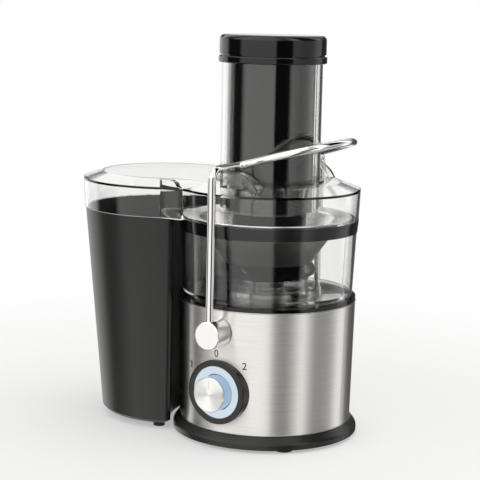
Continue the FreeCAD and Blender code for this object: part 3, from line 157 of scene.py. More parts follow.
# Steel sleeve: stainless sheet rolled round the housing and brushed along its length, so that the
# strokes run round the base and the light stands in upright bands.
SLEEVE_RADIUS = 84.0
STROKE_LENGTH = 45.0
STROKE_WIDTH = 0.7
brushed_stainless, tree, output = finish_named("brushed_stainless_sheet")
place = add(tree, "ShaderNodeTexCoord").outputs["Object"]
centred = add(tree, "ShaderNodeMapping", {"Vector": place, "Location": (-AXIS_X, 0.0, 0.0)})
split = add(tree, "ShaderNodeSeparateXYZ", {"Vector": centred.outputs["Vector"]})
turn = add(tree, "ShaderNodeMath", {0: split.outputs["Y"], 1: split.outputs["X"]}, operation="ARCTAN2")
along = add(tree, "ShaderNodeMath", {0: turn.outputs["Value"], 1: SLEEVE_RADIUS / STROKE_LENGTH},
            operation="MULTIPLY")
across = add(tree, "ShaderNodeMath", {0: split.outputs["Z"], 1: 1000 / STROKE_WIDTH}, operation="MULTIPLY")
stroke_place = add(tree, "ShaderNodeCombineXYZ", {"X": along.outputs["Value"], "Y": across.outputs["Value"]})
strokes = add(tree, "ShaderNodeTexNoise", {
    "Vector": stroke_place.outputs["Vector"], "Scale": 1.0, "Detail": 4.0})
sheen = add(tree, "ShaderNodeMapRange", {"Value": strokes.outputs["Fac"], "To Min": 0.38, "To Max": 0.44})
tone = add(tree, "ShaderNodeValToRGB", {"Fac": strokes.outputs["Fac"]})
tone.color_ramp.elements[0].color = linear("#e6e3de")
tone.color_ramp.elements[1].color = linear("#f4f2ee")
tone.color_ramp.elements[0].position = 0.25
tone.color_ramp.elements[1].position = 0.75
relief = add(tree, "ShaderNodeBump", {"Height": strokes.outputs["Fac"], "Strength": 0.02, "Distance": 0.0001})
round_base = add(tree, "ShaderNodeTangent", direction_type="RADIAL", axis="Z")
shader = add(tree, "ShaderNodeBsdfPrincipled", {
    "Base Color": tone.outputs["Color"], "Metallic": 1.0, "Roughness": sheen.outputs["Result"],
    "Anisotropic": 1.0, "Anisotropic Rotation": 0.25, "Tangent": round_base.outputs["Tangent"],
    "Normal": relief.outputs["Normal"]})
tree.links.new(shader.outputs["BSDF"], output.inputs["Surface"])
dress(brushed_stainless, "steel_sleeve")

# Hems of the sleeve: the sheet's top and bottom edges, rolled over so that they are not sharp.
HEM_RADIUS = 0.0006
HEM_SINK = 0.3
HEM_STEPS = 10
TURN_STEPS = 256


def grid_piece(name, points, material, wrap_rows=False):
    """A mesh over a grid of points: rows run along the profile, columns go round and close.
    With wrap_rows the last row also joins the first, and without it both end rows are capped."""
    rows, columns = points.shape[:2]
    index = np.arange(rows * columns).reshape(rows, columns)
    near = index if wrap_rows else index[:-1]
    far = np.roll(index, -1, axis=0) if wrap_rows else index[1:]
    quads = np.stack([near, np.roll(near, -1, axis=1), np.roll(far, -1, axis=1), far], axis=-1)
    mesh = bpy.data.meshes.new(name)
    ends = [] if wrap_rows else [index[0, ::-1].tolist(), index[-1].tolist()]
    mesh.from_pydata(points.reshape(-1, 3).tolist(), [], quads.reshape(-1, 4).tolist() + ends)
    mesh.shade_smooth()
    mesh.materials.append(material)
    piece = bpy.data.objects.new(name, mesh)
    bpy.context.scene.collection.objects.link(piece)
    return piece


def ring_points(radius, level, section, steps):
    """A torus about the motor axis: radius + section cos v out, level + section sin v up."""
    round_section = np.linspace(0, 2 * np.pi, steps, endpoint=False)[:, None]
    round_axis = np.linspace(0, 2 * np.pi, TURN_STEPS, endpoint=False)[None, :]
    out = radius + section * np.cos(round_section)
    high = level + section * np.sin(round_section) + 0 * round_axis
    return np.stack([AXIS_X + out * np.cos(round_axis), out * np.sin(round_axis), high], axis=-1)


sleeve_low, sleeve_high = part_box("steel_sleeve")
SLEEVE_TOP_RADIUS = 0.0848
SLEEVE_LOW_RADIUS = 0.0825
for name, radius, level in (("sleeve_hem_top", SLEEVE_TOP_RADIUS, sleeve_high.z - HEM_RADIUS),
                            ("sleeve_hem_low", SLEEVE_LOW_RADIUS, sleeve_low.z + HEM_RADIUS)):
    hem = grid_piece(name, ring_points(radius - HEM_SINK * HEM_RADIUS, level, HEM_RADIUS, HEM_STEPS),
                     turned_steel, wrap_rows=True)
    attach(hem, "base")

# Dial numbers: dark grey ink, screen-printed on the steel round the control, one coat thick.
# Each has its side distance from the front line, its level and a width factor. The 1 is drawn wider,
# because it is seen at the steepest slant.
INK_COAT = 0.00006
DIGIT_HEIGHT = 0.0066
DIGIT_WEIGHT = 0.00008
DIGIT_STEPS = 6
FONT_SHARE = 1.45
INK_GRAIN = 0.7
DIAL = (("0", -0.0027, 0.0890, 1.0), ("1", -0.0360, 0.0730, 1.7), ("2", 0.0255, 0.0800, 1.0))
ONE_OUTLINE = ((0.01, -0.5), (0.17, -0.5), (0.17, 0.5), (0.05, 0.5), (-0.17, 0.35), (-0.17, 0.21),
               (0.01, 0.33))
ink, tree, output = finish_named("screen_printed_ink")
place = add(tree, "ShaderNodeTexCoord").outputs["Object"]
coat = add(tree, "ShaderNodeTexNoise", {"Vector": place, "Scale": 1000 / INK_GRAIN, "Detail": 2.0})
tone = add(tree, "ShaderNodeValToRGB", {"Fac": coat.outputs["Fac"]})
tone.color_ramp.elements[0].color = linear("#33312f")
tone.color_ramp.elements[1].color = linear("#474441")
shader = add(tree, "ShaderNodeBsdfPrincipled", {"Base Color": tone.outputs["Color"], "Roughness": 0.55})
tree.links.new(shader.outputs["BSDF"], output.inputs["Surface"])


def on_sleeve(flat, side, level):
    """Flat points (sideways, up, off the surface) wrapped round the sleeve's cone, centred at a
    side distance from the front line and a level."""
    slope = (SLEEVE_TOP_RADIUS - SLEEVE_LOW_RADIUS) / (sleeve_high.z - sleeve_low.z)
    high = level + flat[:, 1]
    radius = SLEEVE_LOW_RADIUS + slope * (high - sleeve_low.z)
    angle = np.arcsin(side / radius) + flat[:, 0] / radius
    out = radius + flat[:, 2]
    return np.stack([AXIS_X + out * np.sin(angle), -out * np.cos(angle), high], axis=-1)


def flat_number(digit):
    """A digit of the built-in font as a flat mesh, as thick as the ink on both sides."""
    lettering = bpy.data.curves.new("dial_" + digit, "FONT")
    lettering.body = digit
    lettering.size = DIGIT_HEIGHT * FONT_SHARE
    lettering.align_x = "CENTER"
    lettering.align_y = "CENTER"
    lettering.extrude = INK_COAT
    lettering.offset = DIGIT_WEIGHT
    lettering.resolution_u = DIGIT_STEPS
    flat_digit = bpy.data.objects.new("flat_digit", lettering)
    bpy.context.scene.collection.objects.link(flat_digit)
    bpy.context.view_layer.update()
    made = bpy.data.meshes.new_from_object(flat_digit)
    bpy.data.objects.remove(flat_digit)
    return made


def flat_one():
    """The digit 1 with its flag, which the built-in font lacks: an outline carried through the ink."""
    outline = np.array(ONE_OUTLINE) * DIGIT_HEIGHT
    count = len(outline)
    first = np.arange(count)
    after = np.roll(first, -1)
    layers = [np.column_stack([outline, np.full(count, off)]) for off in (-INK_COAT, INK_COAT)]
    sides = np.stack([first, after, after + count, first + count], axis=-1)
    made = bpy.data.meshes.new("dial_1")
    made.from_pydata(np.concatenate(layers).tolist(), [],
                     sides.tolist() + [first[::-1].tolist(), (first + count).tolist()])
    return made


for digit, side, level, stretch in DIAL:
    mesh = flat_one() if digit == "1" else flat_number(digit)
    flat = np.empty(len(mesh.vertices) * 3)
    mesh.vertices.foreach_get("co", flat)
    flat = flat.reshape(-1, 3) * (stretch, 1.0, 1.0)
    mesh.vertices.foreach_set("co", on_sleeve(flat, side, level).ravel())
    mesh.materials.clear()
    mesh.materials.append(ink)
    number = bpy.data.objects.new("dial_number_" + digit, mesh)
    bpy.context.scene.collection.objects.link(number)
    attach(number, "base")

# Bezel of the control and motor deck: a gloss black ABS ring pressed on the steel, and the gloss plate
# that closes the top of the base. Polished ABS mirrors the studio at about four percent, a little uneven.
MOULD_WAVE = 14.0
gloss_abs, tree, output = finish_named("polished_black_abs")
place = add(tree, "ShaderNodeTexCoord").outputs["Object"]
wave = add(tree, "ShaderNodeTexNoise", {"Vector": place, "Scale": 1000 / MOULD_WAVE, "Detail": 2.0})
sheen = add(tree, "ShaderNodeMapRange", {"Value": wave.outputs["Fac"], "To Min": 0.03, "To Max": 0.1})
tone = add(tree, "ShaderNodeValToRGB", {"Fac": wave.outputs["Fac"]})
tone.color_ramp.elements[0].color = linear("#060606")
tone.color_ramp.elements[1].color = linear("#0b0b0a")
shader = add(tree, "ShaderNodeBsdfPrincipled", {
    "Base Color": tone.outputs["Color"], "Roughness": sheen.outputs["Result"], "IOR": 1.53})
tree.links.new(shader.outputs["BSDF"], output.inputs["Surface"])
dress(gloss_abs, "motor_deck", "knob_bezel")

# Light ring: opal acrylic lit from behind by pale blue lamps; the knob's polished side mirrors it.
knob_low, knob_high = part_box("speed_knob")
KNOB_X = (knob_low.x + knob_high.x) / 2
KNOB_Z = (knob_low.z + knob_high.z) / 2
KNOB_RADIUS = (knob_high.x - knob_low.x) / 2
SPECK_SIZE = 2.5
opal, tree, output = finish_named("lit_opal_acrylic")
place = add(tree, "ShaderNodeTexCoord").outputs["Object"]
specks = add(tree, "ShaderNodeTexNoise", {"Vector": place, "Scale": 1000 / SPECK_SIZE, "Detail": 2.0})
glow = add(tree, "ShaderNodeValToRGB", {"Fac": specks.outputs["Fac"]})
glow.color_ramp.elements[0].color = linear("#c3d2df")
glow.color_ramp.elements[1].color = linear("#d3dfe8")
shader = add(tree, "ShaderNodeBsdfPrincipled", {
    "Base Color": linear("#0f151a"), "Roughness": 0.35, "IOR": 1.49,
    "Emission Color": glow.outputs["Color"], "Emission Strength": 1.0})
tree.links.new(shader.outputs["BSDF"], output.inputs["Surface"])
dress(opal, "light_ring")

# Speed knob: turned aluminium barrel with a spun face, pushed on the switch's spindle.
# Spinning leaves rings about the middle, so the light fans out from it in sectors.
RING_PITCH = 0.9
spun_aluminium, tree, output = finish_named("spun_aluminium")
place = add(tree, "ShaderNodeTexCoord").outputs["UV"]
rings = add(tree, "ShaderNodeTexNoise", {"Vector": place, "Scale": 1.0 / RING_PITCH, "Detail": 3.0},
            noise_dimensions="2D")
sheen = add(tree, "ShaderNodeMapRange", {"Value": rings.outputs["Fac"], "To Min": 0.26, "To Max": 0.34})
relief = add(tree, "ShaderNodeBump", {"Height": rings.outputs["Fac"], "Strength": 0.02, "Distance": 0.0001})
follow = add(tree, "ShaderNodeTangent", direction_type="UV_MAP", uv_map="spun")
shader = add(tree, "ShaderNodeBsdfPrincipled", {
    "Base Color": linear("#f2f1ee"), "Metallic": 1.0, "Roughness": sheen.outputs["Result"],
    "Anisotropic": 1.0, "Anisotropic Rotation": 0.25, "Tangent": follow.outputs["Tangent"],
    "Normal": relief.outputs["Normal"]})
tree.links.new(shader.outputs["BSDF"], output.inputs["Surface"])

# Polished side of the knob: bright aluminium whose colour is tinted pale blue, a painted reflection of the
# lit ring round its foot, which the metal also really mirrors.
KNOB_GRAIN = 1.5
knob_side, tree, output = finish_named("polished_aluminium_tinted_as_ring_reflection")
place = add(tree, "ShaderNodeTexCoord").outputs["Object"]
lathe = add(tree, "ShaderNodeTexNoise", {"Vector": place, "Scale": 1000 / KNOB_GRAIN, "Detail": 2.0})
sheen = add(tree, "ShaderNodeMapRange", {"Value": lathe.outputs["Fac"], "To Min": 0.05, "To Max": 0.14})
# The pale blue base colour is a painted reflection of the lit ring.
shader = add(tree, "ShaderNodeBsdfPrincipled", {
    "Base Color": linear("#bfd0e4"), "Metallic": 1.0, "Roughness": sheen.outputs["Result"]})
tree.links.new(shader.outputs["BSDF"], output.inputs["Surface"])
dress(knob_side, "speed_knob")

cap_low, cap_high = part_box("knob_cap")
FACE_DISH = 0.0003
FACE_CHAMFER = 0.0010
FACE_LAND = 0.0006
FACE_ROWS = 24
FACE_COLUMNS = 128
POLE_RADIUS = 0.0002
SEAM_SHARE = 0.9
SHARP_ANGLE = math.radians(25)


def spun_cap():
    """The knob's face turned about the knob's axis: a dished face, a chamfer and a straight edge.
    The map's first direction goes round, its second is the distance from the middle in mm."""
    edge = KNOB_RADIUS - FACE_CHAMFER
    face_outs = np.linspace(POLE_RADIUS, edge - FACE_LAND, FACE_ROWS)
    outs = np.concatenate([face_outs, [edge, KNOB_RADIUS, KNOB_RADIUS, POLE_RADIUS]])
    dish = FACE_DISH * (1 - np.linspace(0, 1, FACE_ROWS) ** 2)
    edge_fronts = [cap_low.y, cap_low.y + FACE_CHAMFER, cap_high.y, cap_high.y]
    fronts = np.concatenate([cap_low.y + dish, edge_fronts])
    angles = -np.linspace(0, 2 * np.pi, FACE_COLUMNS, endpoint=False)[None, :]
    x = KNOB_X + outs[:, None] * np.cos(angles)
    z = KNOB_Z + outs[:, None] * np.sin(angles)
    y = fronts[:, None] + 0 * angles
    return np.stack([x, y, z], axis=-1), outs


cap_points, cap_outs = spun_cap()
spun_face = grid_piece("spun_face", cap_points, spun_aluminium)
mesh = spun_face.data
corner_vertex = np.empty(len(mesh.loops), dtype=int)
mesh.loops.foreach_get("vertex_index", corner_vertex)
columns = cap_points.shape[1]
round_share = (corner_vertex % columns) / columns
quad_corners = len(mesh.loops) - 2 * columns
in_quads = round_share[:quad_corners].reshape(-1, 4)
at_seam = (in_quads.max(axis=1, keepdims=True) > SEAM_SHARE) & (in_quads == 0)
round_share[:quad_corners] = np.where(at_seam, 1.0, in_quads).ravel()
mapped = np.stack([round_share, cap_outs[corner_vertex // columns] * 1000], axis=-1)
mesh.uv_layers.new(name="spun").data.foreach_set("uv", mapped.ravel())
mesh.set_sharp_from_angle(angle=SHARP_ANGLE)
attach(spun_face, "knob")
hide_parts("knob_cap")

# Index line of the knob: a thin bar of white paint, from part way out to near the edge of the face.
# It turns with the knob and points at the setting.
INDEX_START = 0.0058
INDEX_END = 0.0140
INDEX_HALF = 0.00045
INDEX_COAT = 0.0002
PAINT_GRAIN = 0.7
index_paint, tree, output = finish_named("white_index_paint")
place = add(tree, "ShaderNodeTexCoord").outputs["Object"]
coat = add(tree, "ShaderNodeTexNoise", {"Vector": place, "Scale": 1000 / PAINT_GRAIN, "Detail": 2.0})
tone = add(tree, "ShaderNodeValToRGB", {"Fac": coat.outputs["Fac"]})
tone.color_ramp.elements[0].color = linear("#f4f4f2")
tone.color_ramp.elements[1].color = linear("#fbfbfa")
shader = add(tree, "ShaderNodeBsdfPrincipled", {"Base Color": tone.outputs["Color"], "Roughness": 0.45})
tree.links.new(shader.outputs["BSDF"], output.inputs["Surface"])
bar = np.array([(-1, 0, 0), (1, 0, 0), (1, 0, 1), (-1, 0, 1),
                (-1, 1, 0), (1, 1, 0), (1, 1, 1), (-1, 1, 1)], float)
bar_faces = [(0, 1, 2, 3), (1, 5, 6, 2), (5, 4, 7, 6), (4, 0, 3, 7), (3, 2, 6, 7), (4, 5, 1, 0)]
bar *= (INDEX_HALF, INDEX_COAT + FACE_DISH, INDEX_END - INDEX_START)
bar += (KNOB_X, cap_low.y - INDEX_COAT, KNOB_Z + INDEX_START)
mesh = bpy.data.meshes.new("index_line")
mesh.from_pydata(bar.tolist(), [], bar_faces)
mesh.materials.append(index_paint)
index_line = bpy.data.objects.new("index_line", mesh)
bpy.context.scene.collection.objects.link(index_line)
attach(index_line, "knob")

# Bowl collar: polished black ABS ring snapped over the bowl's neck; the lid stands on it.
dress(gloss_abs, "bowl_collar")

# Juice bowl: injection-moulded clear copolyester, polished, with faint flow haze.
HAZE_SIZE = 22.0
clear_plastic, tree, output = finish_named("clear_copolyester")
place = add(tree, "ShaderNodeTexCoord").outputs["Object"]
haze = add(tree, "ShaderNodeTexNoise", {"Vector": place, "Scale": 1000 / HAZE_SIZE, "Detail": 3.0})
sheen = add(tree, "ShaderNodeMapRange", {"Value": haze.outputs["Fac"], "To Min": 0.0, "To Max": 0.03})
shader = add(tree, "ShaderNodeBsdfPrincipled", {
    "Base Color": linear("#fbfbfa"), "Roughness": sheen.outputs["Result"], "IOR": 1.5,
    "Transmission Weight": 1.0})
tree.links.new(shader.outputs["BSDF"], output.inputs["Surface"])
dress(clear_plastic, "juice_bowl", "lid", "feed_tube")

# Filter basket: black hub, rolled steel rim, punched grater disc and a cone of perforated sheet.
# Its holes are 0.7 mm wide, near the real size, so the cone looks smooth from a step away.
dress(gloss_abs, "filter_hub")
dress(turned_steel, "grater_disc")
screen_low, screen_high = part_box("filter_mesh")
SCREEN_LOW_RADIUS = 0.0420
SCREEN_TOP_RADIUS = 0.0684
SCREEN_SHEET = 0.0007
HOLES_ROUND = 168
HOLES_UP = 22
HOLE_SHARE = 0.17


def perforated_cone():
    """A cone unrolled into square cells, each a frame of eight quads round an eight-sided hole.
    Lattice points are cell corners and edge middles; the hole is a ring about the cell's middle."""
    up = np.arange(2 * HOLES_UP + 1)[:, None] / 2.0
    side = np.arange(2 * HOLES_ROUND)[None, :] / 2.0
    lattice = np.stack(np.broadcast_arrays(side, up), axis=-1).reshape(-1, 2)
    row, column = np.meshgrid(np.arange(HOLES_UP), np.arange(HOLES_ROUND), indexing="ij")
    middle = np.stack([column + 0.5, row + 0.5], axis=-1).reshape(-1, 1, 2)
    corners = np.array([(0, 0), (1, 0), (2, 0), (2, 1), (2, 2), (1, 2), (0, 2), (0, 1)])
    toward = corners / 2.0 - 0.5
    circle = toward / np.linalg.norm(toward, axis=1, keepdims=True) * HOLE_SHARE
    holes = (middle + circle[None]).reshape(-1, 2)
    flat = np.concatenate([lattice, holes])
    border = ((2 * row.reshape(-1, 1) + corners[None, :, 1]) * 2 * HOLES_ROUND
              + (2 * column.reshape(-1, 1) + corners[None, :, 0]) % (2 * HOLES_ROUND))
    inner = len(lattice) + np.arange(len(holes)).reshape(-1, 8)
    quads = np.stack([border, np.roll(border, -1, axis=1), np.roll(inner, -1, axis=1), inner], axis=-1)
    angle = flat[:, 0] / HOLES_ROUND * 2 * np.pi
    share = flat[:, 1] / HOLES_UP
    radius = SCREEN_LOW_RADIUS + (SCREEN_TOP_RADIUS - SCREEN_LOW_RADIUS) * share
    high = screen_low.z + (screen_high.z - screen_low.z) * share
    points = np.stack([AXIS_X + radius * np.cos(angle), radius * np.sin(angle), high], axis=-1)
    return points, quads.reshape(-1, 4)


# Perforated stainless sheet as two copies of one steel, each with a fine random grain: a dark shaded copy,
# painted shade, and a bright lit copy, painted light, for the inside and the rim.
SHEET_GRAIN = 1.2
screen_shaded_and_lit = []
for name, dark, light, smooth, rough in (
        ("shaded_stainless_sheet", "#5a5957", "#706f6d", 0.25, 0.4),
        ("lit_stainless_sheet", "#f1f0ee", "#f8f8f7", 0.2, 0.32)):
    made, tree, output = finish_named(name)
    place = add(tree, "ShaderNodeTexCoord").outputs["Object"]
    sheet_grain = add(tree, "ShaderNodeTexNoise", {"Vector": place, "Scale": 1000 / SHEET_GRAIN, "Detail": 3.0})
    sheen = add(tree, "ShaderNodeMapRange", {"Value": sheet_grain.outputs["Fac"], "To Min": smooth, "To Max": rough})
    tone = add(tree, "ShaderNodeValToRGB", {"Fac": sheet_grain.outputs["Fac"]})
    tone.color_ramp.elements[0].color = linear(dark)
    tone.color_ramp.elements[1].color = linear(light)
    shader = add(tree, "ShaderNodeBsdfPrincipled", {
        "Base Color": tone.outputs["Color"], "Metallic": 1.0, "Roughness": sheen.outputs["Result"]})
    tree.links.new(shader.outputs["BSDF"], output.inputs["Surface"])
    screen_shaded_and_lit.append(made)
# The basket's rim takes the bright lit copy: painted light.
dress(screen_shaded_and_lit[1], "filter_rim")

screen_points, screen_quads = perforated_cone()
mesh = bpy.data.meshes.new("filter_screen")
mesh.from_pydata(screen_points.tolist(), [], screen_quads.tolist())
for made in screen_shaded_and_lit:
    mesh.materials.append(made)
filter_screen = bpy.data.objects.new("filter_screen", mesh)
bpy.context.scene.collection.objects.link(filter_screen)
sheet = filter_screen.modifiers.new("sheet", "SOLIDIFY")
sheet.thickness = SCREEN_SHEET
sheet.offset = -1.0
# The solidified side and the hole edges take the bright lit copy, painted light; the first side keeps the
# dark shaded copy, painted shade.
sheet.material_offset = 1
sheet.material_offset_rim = 1
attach(filter_screen, "drive")
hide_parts("filter_mesh")

# Pusher: polished black ABS cup, closed by a gloss cap that hangs on the feed tube's rim.
dress(gloss_abs, "pusher_body", "pusher_cap")

# Pulp container: satin black ABS bucket that stands beside the base under the lid's lobe.
dress(satin_abs, "pulp_container")

# Locking arm: bent steel rod and die-cast hubs, polished and chromed, on pins in the base.
POLISH_CLOUD = 6.0
chrome, tree, output = finish_named("polished_chrome")
place = add(tree, "ShaderNodeTexCoord").outputs["Object"]
cloud = add(tree, "ShaderNodeTexNoise", {"Vector": place, "Scale": 1000 / POLISH_CLOUD, "Detail": 3.0})
sheen = add(tree, "ShaderNodeMapRange", {"Value": cloud.outputs["Fac"], "To Min": 0.03, "To Max": 0.12})
shader = add(tree, "ShaderNodeBsdfPrincipled", {
    "Base Color": linear("#f3f2f0"), "Metallic": 1.0, "Roughness": sheen.outputs["Result"]})
tree.links.new(shader.outputs["BSDF"], output.inputs["Surface"])
dress(chrome, "locking_arm", "arm_hub_front", "arm_hub_rear")

# Studio floor: a pale table that fades into the white background and keeps a soft shadow.
# Mirrored rays pass it, also those that leave through clear plastic, so no edge of it is mirrored.
FLOOR_HALF = 3.0
FADE_START = 0.25
FADE_END = 0.75
NEAR_WHITE = 0.4
FIBRE_SIZE = 4.0
paper, tree, output = finish_named("white_paper_sweep")
place = add(tree, "ShaderNodeTexCoord").outputs["Object"]
away = add(tree, "ShaderNodeVectorMath", {0: place}, operation="LENGTH")
fade = add(tree, "ShaderNodeMapRange", {
    "Value": away.outputs["Value"], "From Min": FADE_START, "From Max": FADE_END,
    "To Min": NEAR_WHITE, "To Max": 1.0}, interpolation_type="SMOOTHSTEP")
fibre = add(tree, "ShaderNodeTexNoise", {"Vector": place, "Scale": 1000 / FIBRE_SIZE, "Detail": 2.0})
tone = add(tree, "ShaderNodeValToRGB", {"Fac": fibre.outputs["Fac"]})
tone.color_ramp.elements[0].color = linear("#f1f1f0")
tone.color_ramp.elements[1].color = linear("#f6f6f5")
matt = add(tree, "ShaderNodeBsdfDiffuse", {"Color": tone.outputs["Color"]})
white = add(tree, "ShaderNodeEmission", {"Strength": 1.0})
rays = add(tree, "ShaderNodeLightPath")
seen = add(tree, "ShaderNodeMath", {
    0: rays.outputs["Is Camera Ray"], 1: rays.outputs["Is Transmission Ray"]}, operation="MAXIMUM")
share = add(tree, "ShaderNodeMath", {
    0: seen.outputs["Value"], 1: fade.outputs["Result"]}, operation="MULTIPLY")
mixed = add(tree, "ShaderNodeMixShader", {
    0: share.outputs["Value"], 1: matt.outputs["BSDF"], 2: white.outputs["Emission"]})
mirrored = add(tree, "ShaderNodeMath", {
    0: rays.outputs["Glossy Depth"], 1: 0.5}, operation="GREATER_THAN")
unseen = add(tree, "ShaderNodeBsdfTransparent")
table_top = add(tree, "ShaderNodeMixShader", {
    0: mirrored.outputs["Value"], 1: mixed.outputs["Shader"], 2: unseen.outputs["BSDF"]})
tree.links.new(table_top.outputs["Shader"], output.inputs["Surface"])
corners = np.array([(-1, -1, 0), (1, -1, 0), (1, 1, 0), (-1, 1, 0)]) * FLOOR_HALF
mesh = bpy.data.meshes.new("floor")
mesh.from_pydata(corners.tolist(), [], [(0, 1, 2, 3)])
mesh.materials.append(paper)
floor = bpy.data.objects.new("floor", mesh)
bpy.context.scene.collection.objects.link(floor)
floor.visible_glossy = False

# Camera at the photograph's place: turned about the motor axis, a little above the bowl.
CAMERA_AWAY = 1.38157
CAMERA_HEIGHT = 0.40790
CAMERA_TURN = math.radians(31.0)
CAMERA_PITCH = math.radians(9.189)
CAMERA_YAW = math.radians(-1.1336)
CAMERA_ROLL = math.radians(-1.1998)
CAMERA_LENS = 109.47
camera = bpy.data.objects.new("camera", bpy.data.cameras.new("camera"))
bpy.context.scene.collection.objects.link(camera)
camera.data.lens = CAMERA_LENS
ahead = Vector((math.sin(CAMERA_YAW) * math.cos(CAMERA_PITCH),
                math.cos(CAMERA_YAW) * math.cos(CAMERA_PITCH), -math.sin(CAMERA_PITCH)))
right = Vector((math.cos(CAMERA_YAW), -math.sin(CAMERA_YAW), 0.0))
above = right.cross(ahead)
rolled_right = right * math.cos(CAMERA_ROLL) - above * math.sin(CAMERA_ROLL)
rolled_above = right * math.sin(CAMERA_ROLL) + above * math.cos(CAMERA_ROLL)
turned = Matrix.Rotation(CAMERA_TURN, 3, "Z")
axes = Matrix((turned @ rolled_right, turned @ rolled_above, turned @ -ahead)).transposed()
spot = turned @ Vector((0.0, -CAMERA_AWAY, CAMERA_HEIGHT)) + Vector((AXIS_X, 0.0, 0.0))
camera.matrix_world = Matrix.Translation(spot) @ axes.to_4x4()
bpy.context.scene.camera = camera

# Studio light: white where the eye looks past the object, an even soft level for matt surfaces, and for
# gloss two rings of soft boxes with black gaps, by bearing in degrees from the camera's side. Level rays
# meet the low ring, steeper ones the high ring or the flag behind the bowl, and downward ones the table.
BOX_POWER = 2.1
FLOOR_SHARE = 0.8
SOFT_POWER = 0.85
WARM_WHITE = (1.0, 0.995, 0.985)
LOW_MIDDLE = -0.1
LOW_REACH = 0.22
HIGH_START = 0.30
TABLE_START = -0.45
TABLE_FULL = -0.6
FLAG_TONE = (0.03, 0.03, 0.03, 1.0)
LOW_RING = ((-180, 0.9), (-160, 0.9), (-148, 1.2), (-115, 1.2), (-107, 0.04), (-76, 0.04), (-68, 1.05),
            (5, 1.05), (9, 0.02), (41, 0.02), (46, 0.85), (60, 0.75), (70, 0.6), (92, 0.6), (108, 0.9),
            (122, 0.9), (131, 0.08), (164, 0.08), (171, 0.9), (180, 0.9))
HIGH_RING = ((-180, 1.0), (-155, 1.0), (-140, 1.6), (-130, 1.2), (-116, 0.2), (-102, 0.3), (-90, 1.3),
             (-60, 2.0), (-45, 1.6), (-28, 1.5), (-3, 1.5), (8, 1.35), (16, 0.8), (25, 0.5), (33, 0.7),
             (42, 1.6), (52, 2.1), (61, 0.7), (67, 0.0), (96, 0.0), (105, 0.4), (116, 1.8), (123, 1.6),
             (135, 0.2), (150, 0.3), (160, 1.0), (180, 1.0))
BACK_FLAG = ((-180, 1.0), (-150, 1.0), (-140, 0.0), (140, 0.0), (150, 1.0), (180, 1.0))
FLAG_HEIGHT = ((0.0, 0.0), (0.145, 0.0), (0.17, 1.0), (0.30, 1.0), (0.36, 0.0))
world = bpy.data.worlds.new("studio")
bpy.context.scene.world = world
world.use_nodes = True
world.cycles.sampling_method = "NONE"
tree = world.node_tree
tree.nodes.clear()
toward = add(tree, "ShaderNodeTexCoord").outputs["Generated"]
facing = add(tree, "ShaderNodeMapping", {
    "Vector": toward, "Rotation": (0.0, 0.0, math.pi / 2 - CAMERA_TURN)})
split = add(tree, "ShaderNodeSeparateXYZ", {"Vector": facing.outputs["Vector"]})
bearing = add(tree, "ShaderNodeMath", {0: split.outputs["Y"], 1: split.outputs["X"]}, operation="ARCTAN2")
share = add(tree, "ShaderNodeMapRange", {
    "Value": bearing.outputs["Value"], "From Min": -math.pi, "From Max": math.pi})
bands = []
for levels, where, power in (
        ([((d + 180) / 360, v) for d, v in LOW_RING], share.outputs["Result"], BOX_POWER),
        ([((d + 180) / 360, v) for d, v in HIGH_RING], share.outputs["Result"], BOX_POWER),
        ([((d + 180) / 360, v) for d, v in BACK_FLAG], share.outputs["Result"], 1.0),
        (FLAG_HEIGHT, split.outputs["Z"], 1.0)):
    made = add(tree, "ShaderNodeValToRGB", {"Fac": where})
    stops = made.color_ramp.elements
    for number, (position, level) in enumerate(levels):
        stop = stops[number] if number < len(stops) else stops.new(1.0)
        stop.position = position
        stop.color = (*(level / power * part for part in WARM_WHITE), 1.0)
    bands.append(made.outputs["Color"])
raised = add(tree, "ShaderNodeMath", {0: split.outputs["Z"], 1: LOW_MIDDLE}, operation="SUBTRACT")
steep = add(tree, "ShaderNodeMath", {0: raised.outputs["Value"]}, operation="ABSOLUTE")
height = add(tree, "ShaderNodeMapRange", {
    "Value": steep.outputs["Value"], "From Min": LOW_REACH, "From Max": HIGH_START})
boxes = add(tree, "ShaderNodeMix", {
    0: height.outputs["Result"], 6: bands[0], 7: bands[1]}, data_type="RGBA")
flag = add(tree, "ShaderNodeMath", {0: bands[2], 1: bands[3]}, operation="MULTIPLY")
flagged = add(tree, "ShaderNodeMix", {
    0: flag.outputs["Value"], 6: boxes.outputs[2], 7: FLAG_TONE}, data_type="RGBA")
rays = add(tree, "ShaderNodeLightPath")
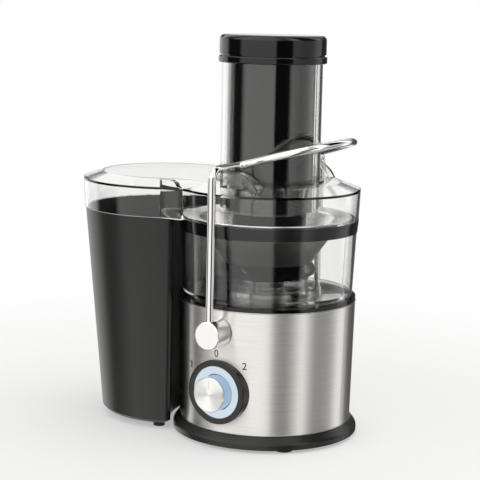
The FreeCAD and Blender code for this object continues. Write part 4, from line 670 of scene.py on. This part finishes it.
mirrored = add(tree, "ShaderNodeMath", {
    0: rays.outputs["Glossy Depth"], 1: 0.5}, operation="GREATER_THAN")
scattered = add(tree, "ShaderNodeMath", {
    0: rays.outputs["Diffuse Depth"], 1: 0.5}, operation="GREATER_THAN")
background = add(tree, "ShaderNodeBackground", {"Color": (1.0, 1.0, 1.0, 1.0), "Strength": 1.0})
table = add(tree, "ShaderNodeVectorMath", {0: bands[0], "Scale": FLOOR_SHARE}, operation="SCALE")
downward = add(tree, "ShaderNodeMapRange", {
    "Value": split.outputs["Z"], "From Min": TABLE_START, "From Max": TABLE_FULL})
around = add(tree, "ShaderNodeMix", {
    0: downward.outputs["Result"], 6: flagged.outputs[2], 7: table.outputs["Vector"]}, data_type="RGBA")
gloss = add(tree, "ShaderNodeBackground", {"Color": around.outputs[2], "Strength": BOX_POWER})
soft = add(tree, "ShaderNodeBackground", {"Color": (*WARM_WHITE, 1.0), "Strength": SOFT_POWER})
seen = add(tree, "ShaderNodeMixShader", {
    0: mirrored.outputs["Value"], 1: background.outputs["Background"], 2: gloss.outputs["Background"]})
lit = add(tree, "ShaderNodeMixShader", {
    0: scattered.outputs["Value"], 1: seen.outputs["Shader"], 2: soft.outputs["Background"]})
output = add(tree, "ShaderNodeOutputWorld", {"Surface": lit.outputs["Shader"]})

# Two weak square lamps, unseen in gloss, for the soft shadow on the table: place, span and watts.
KEY_LIGHTS = (("key_light", (-0.9, -1.5, 1.5), 1.2, 4.0), ("top_light", (0.3, 0.2, 1.7), 1.0, 4.0))
LIT_POINT = Vector((0.0, 0.0, 0.2))
for name, spot, span, power in KEY_LIGHTS:
    lamp = bpy.data.objects.new(name, bpy.data.lights.new(name, "AREA"))
    bpy.context.scene.collection.objects.link(lamp)
    lamp.data.shape = "SQUARE"
    lamp.data.size = span
    lamp.data.energy = power
    lamp.location = spot
    lamp.rotation_euler = (LIT_POINT - Vector(spot)).to_track_quat("-Z", "Y").to_euler()
    lamp.visible_glossy = False

bpy.context.scene.view_settings.view_transform = "Standard"
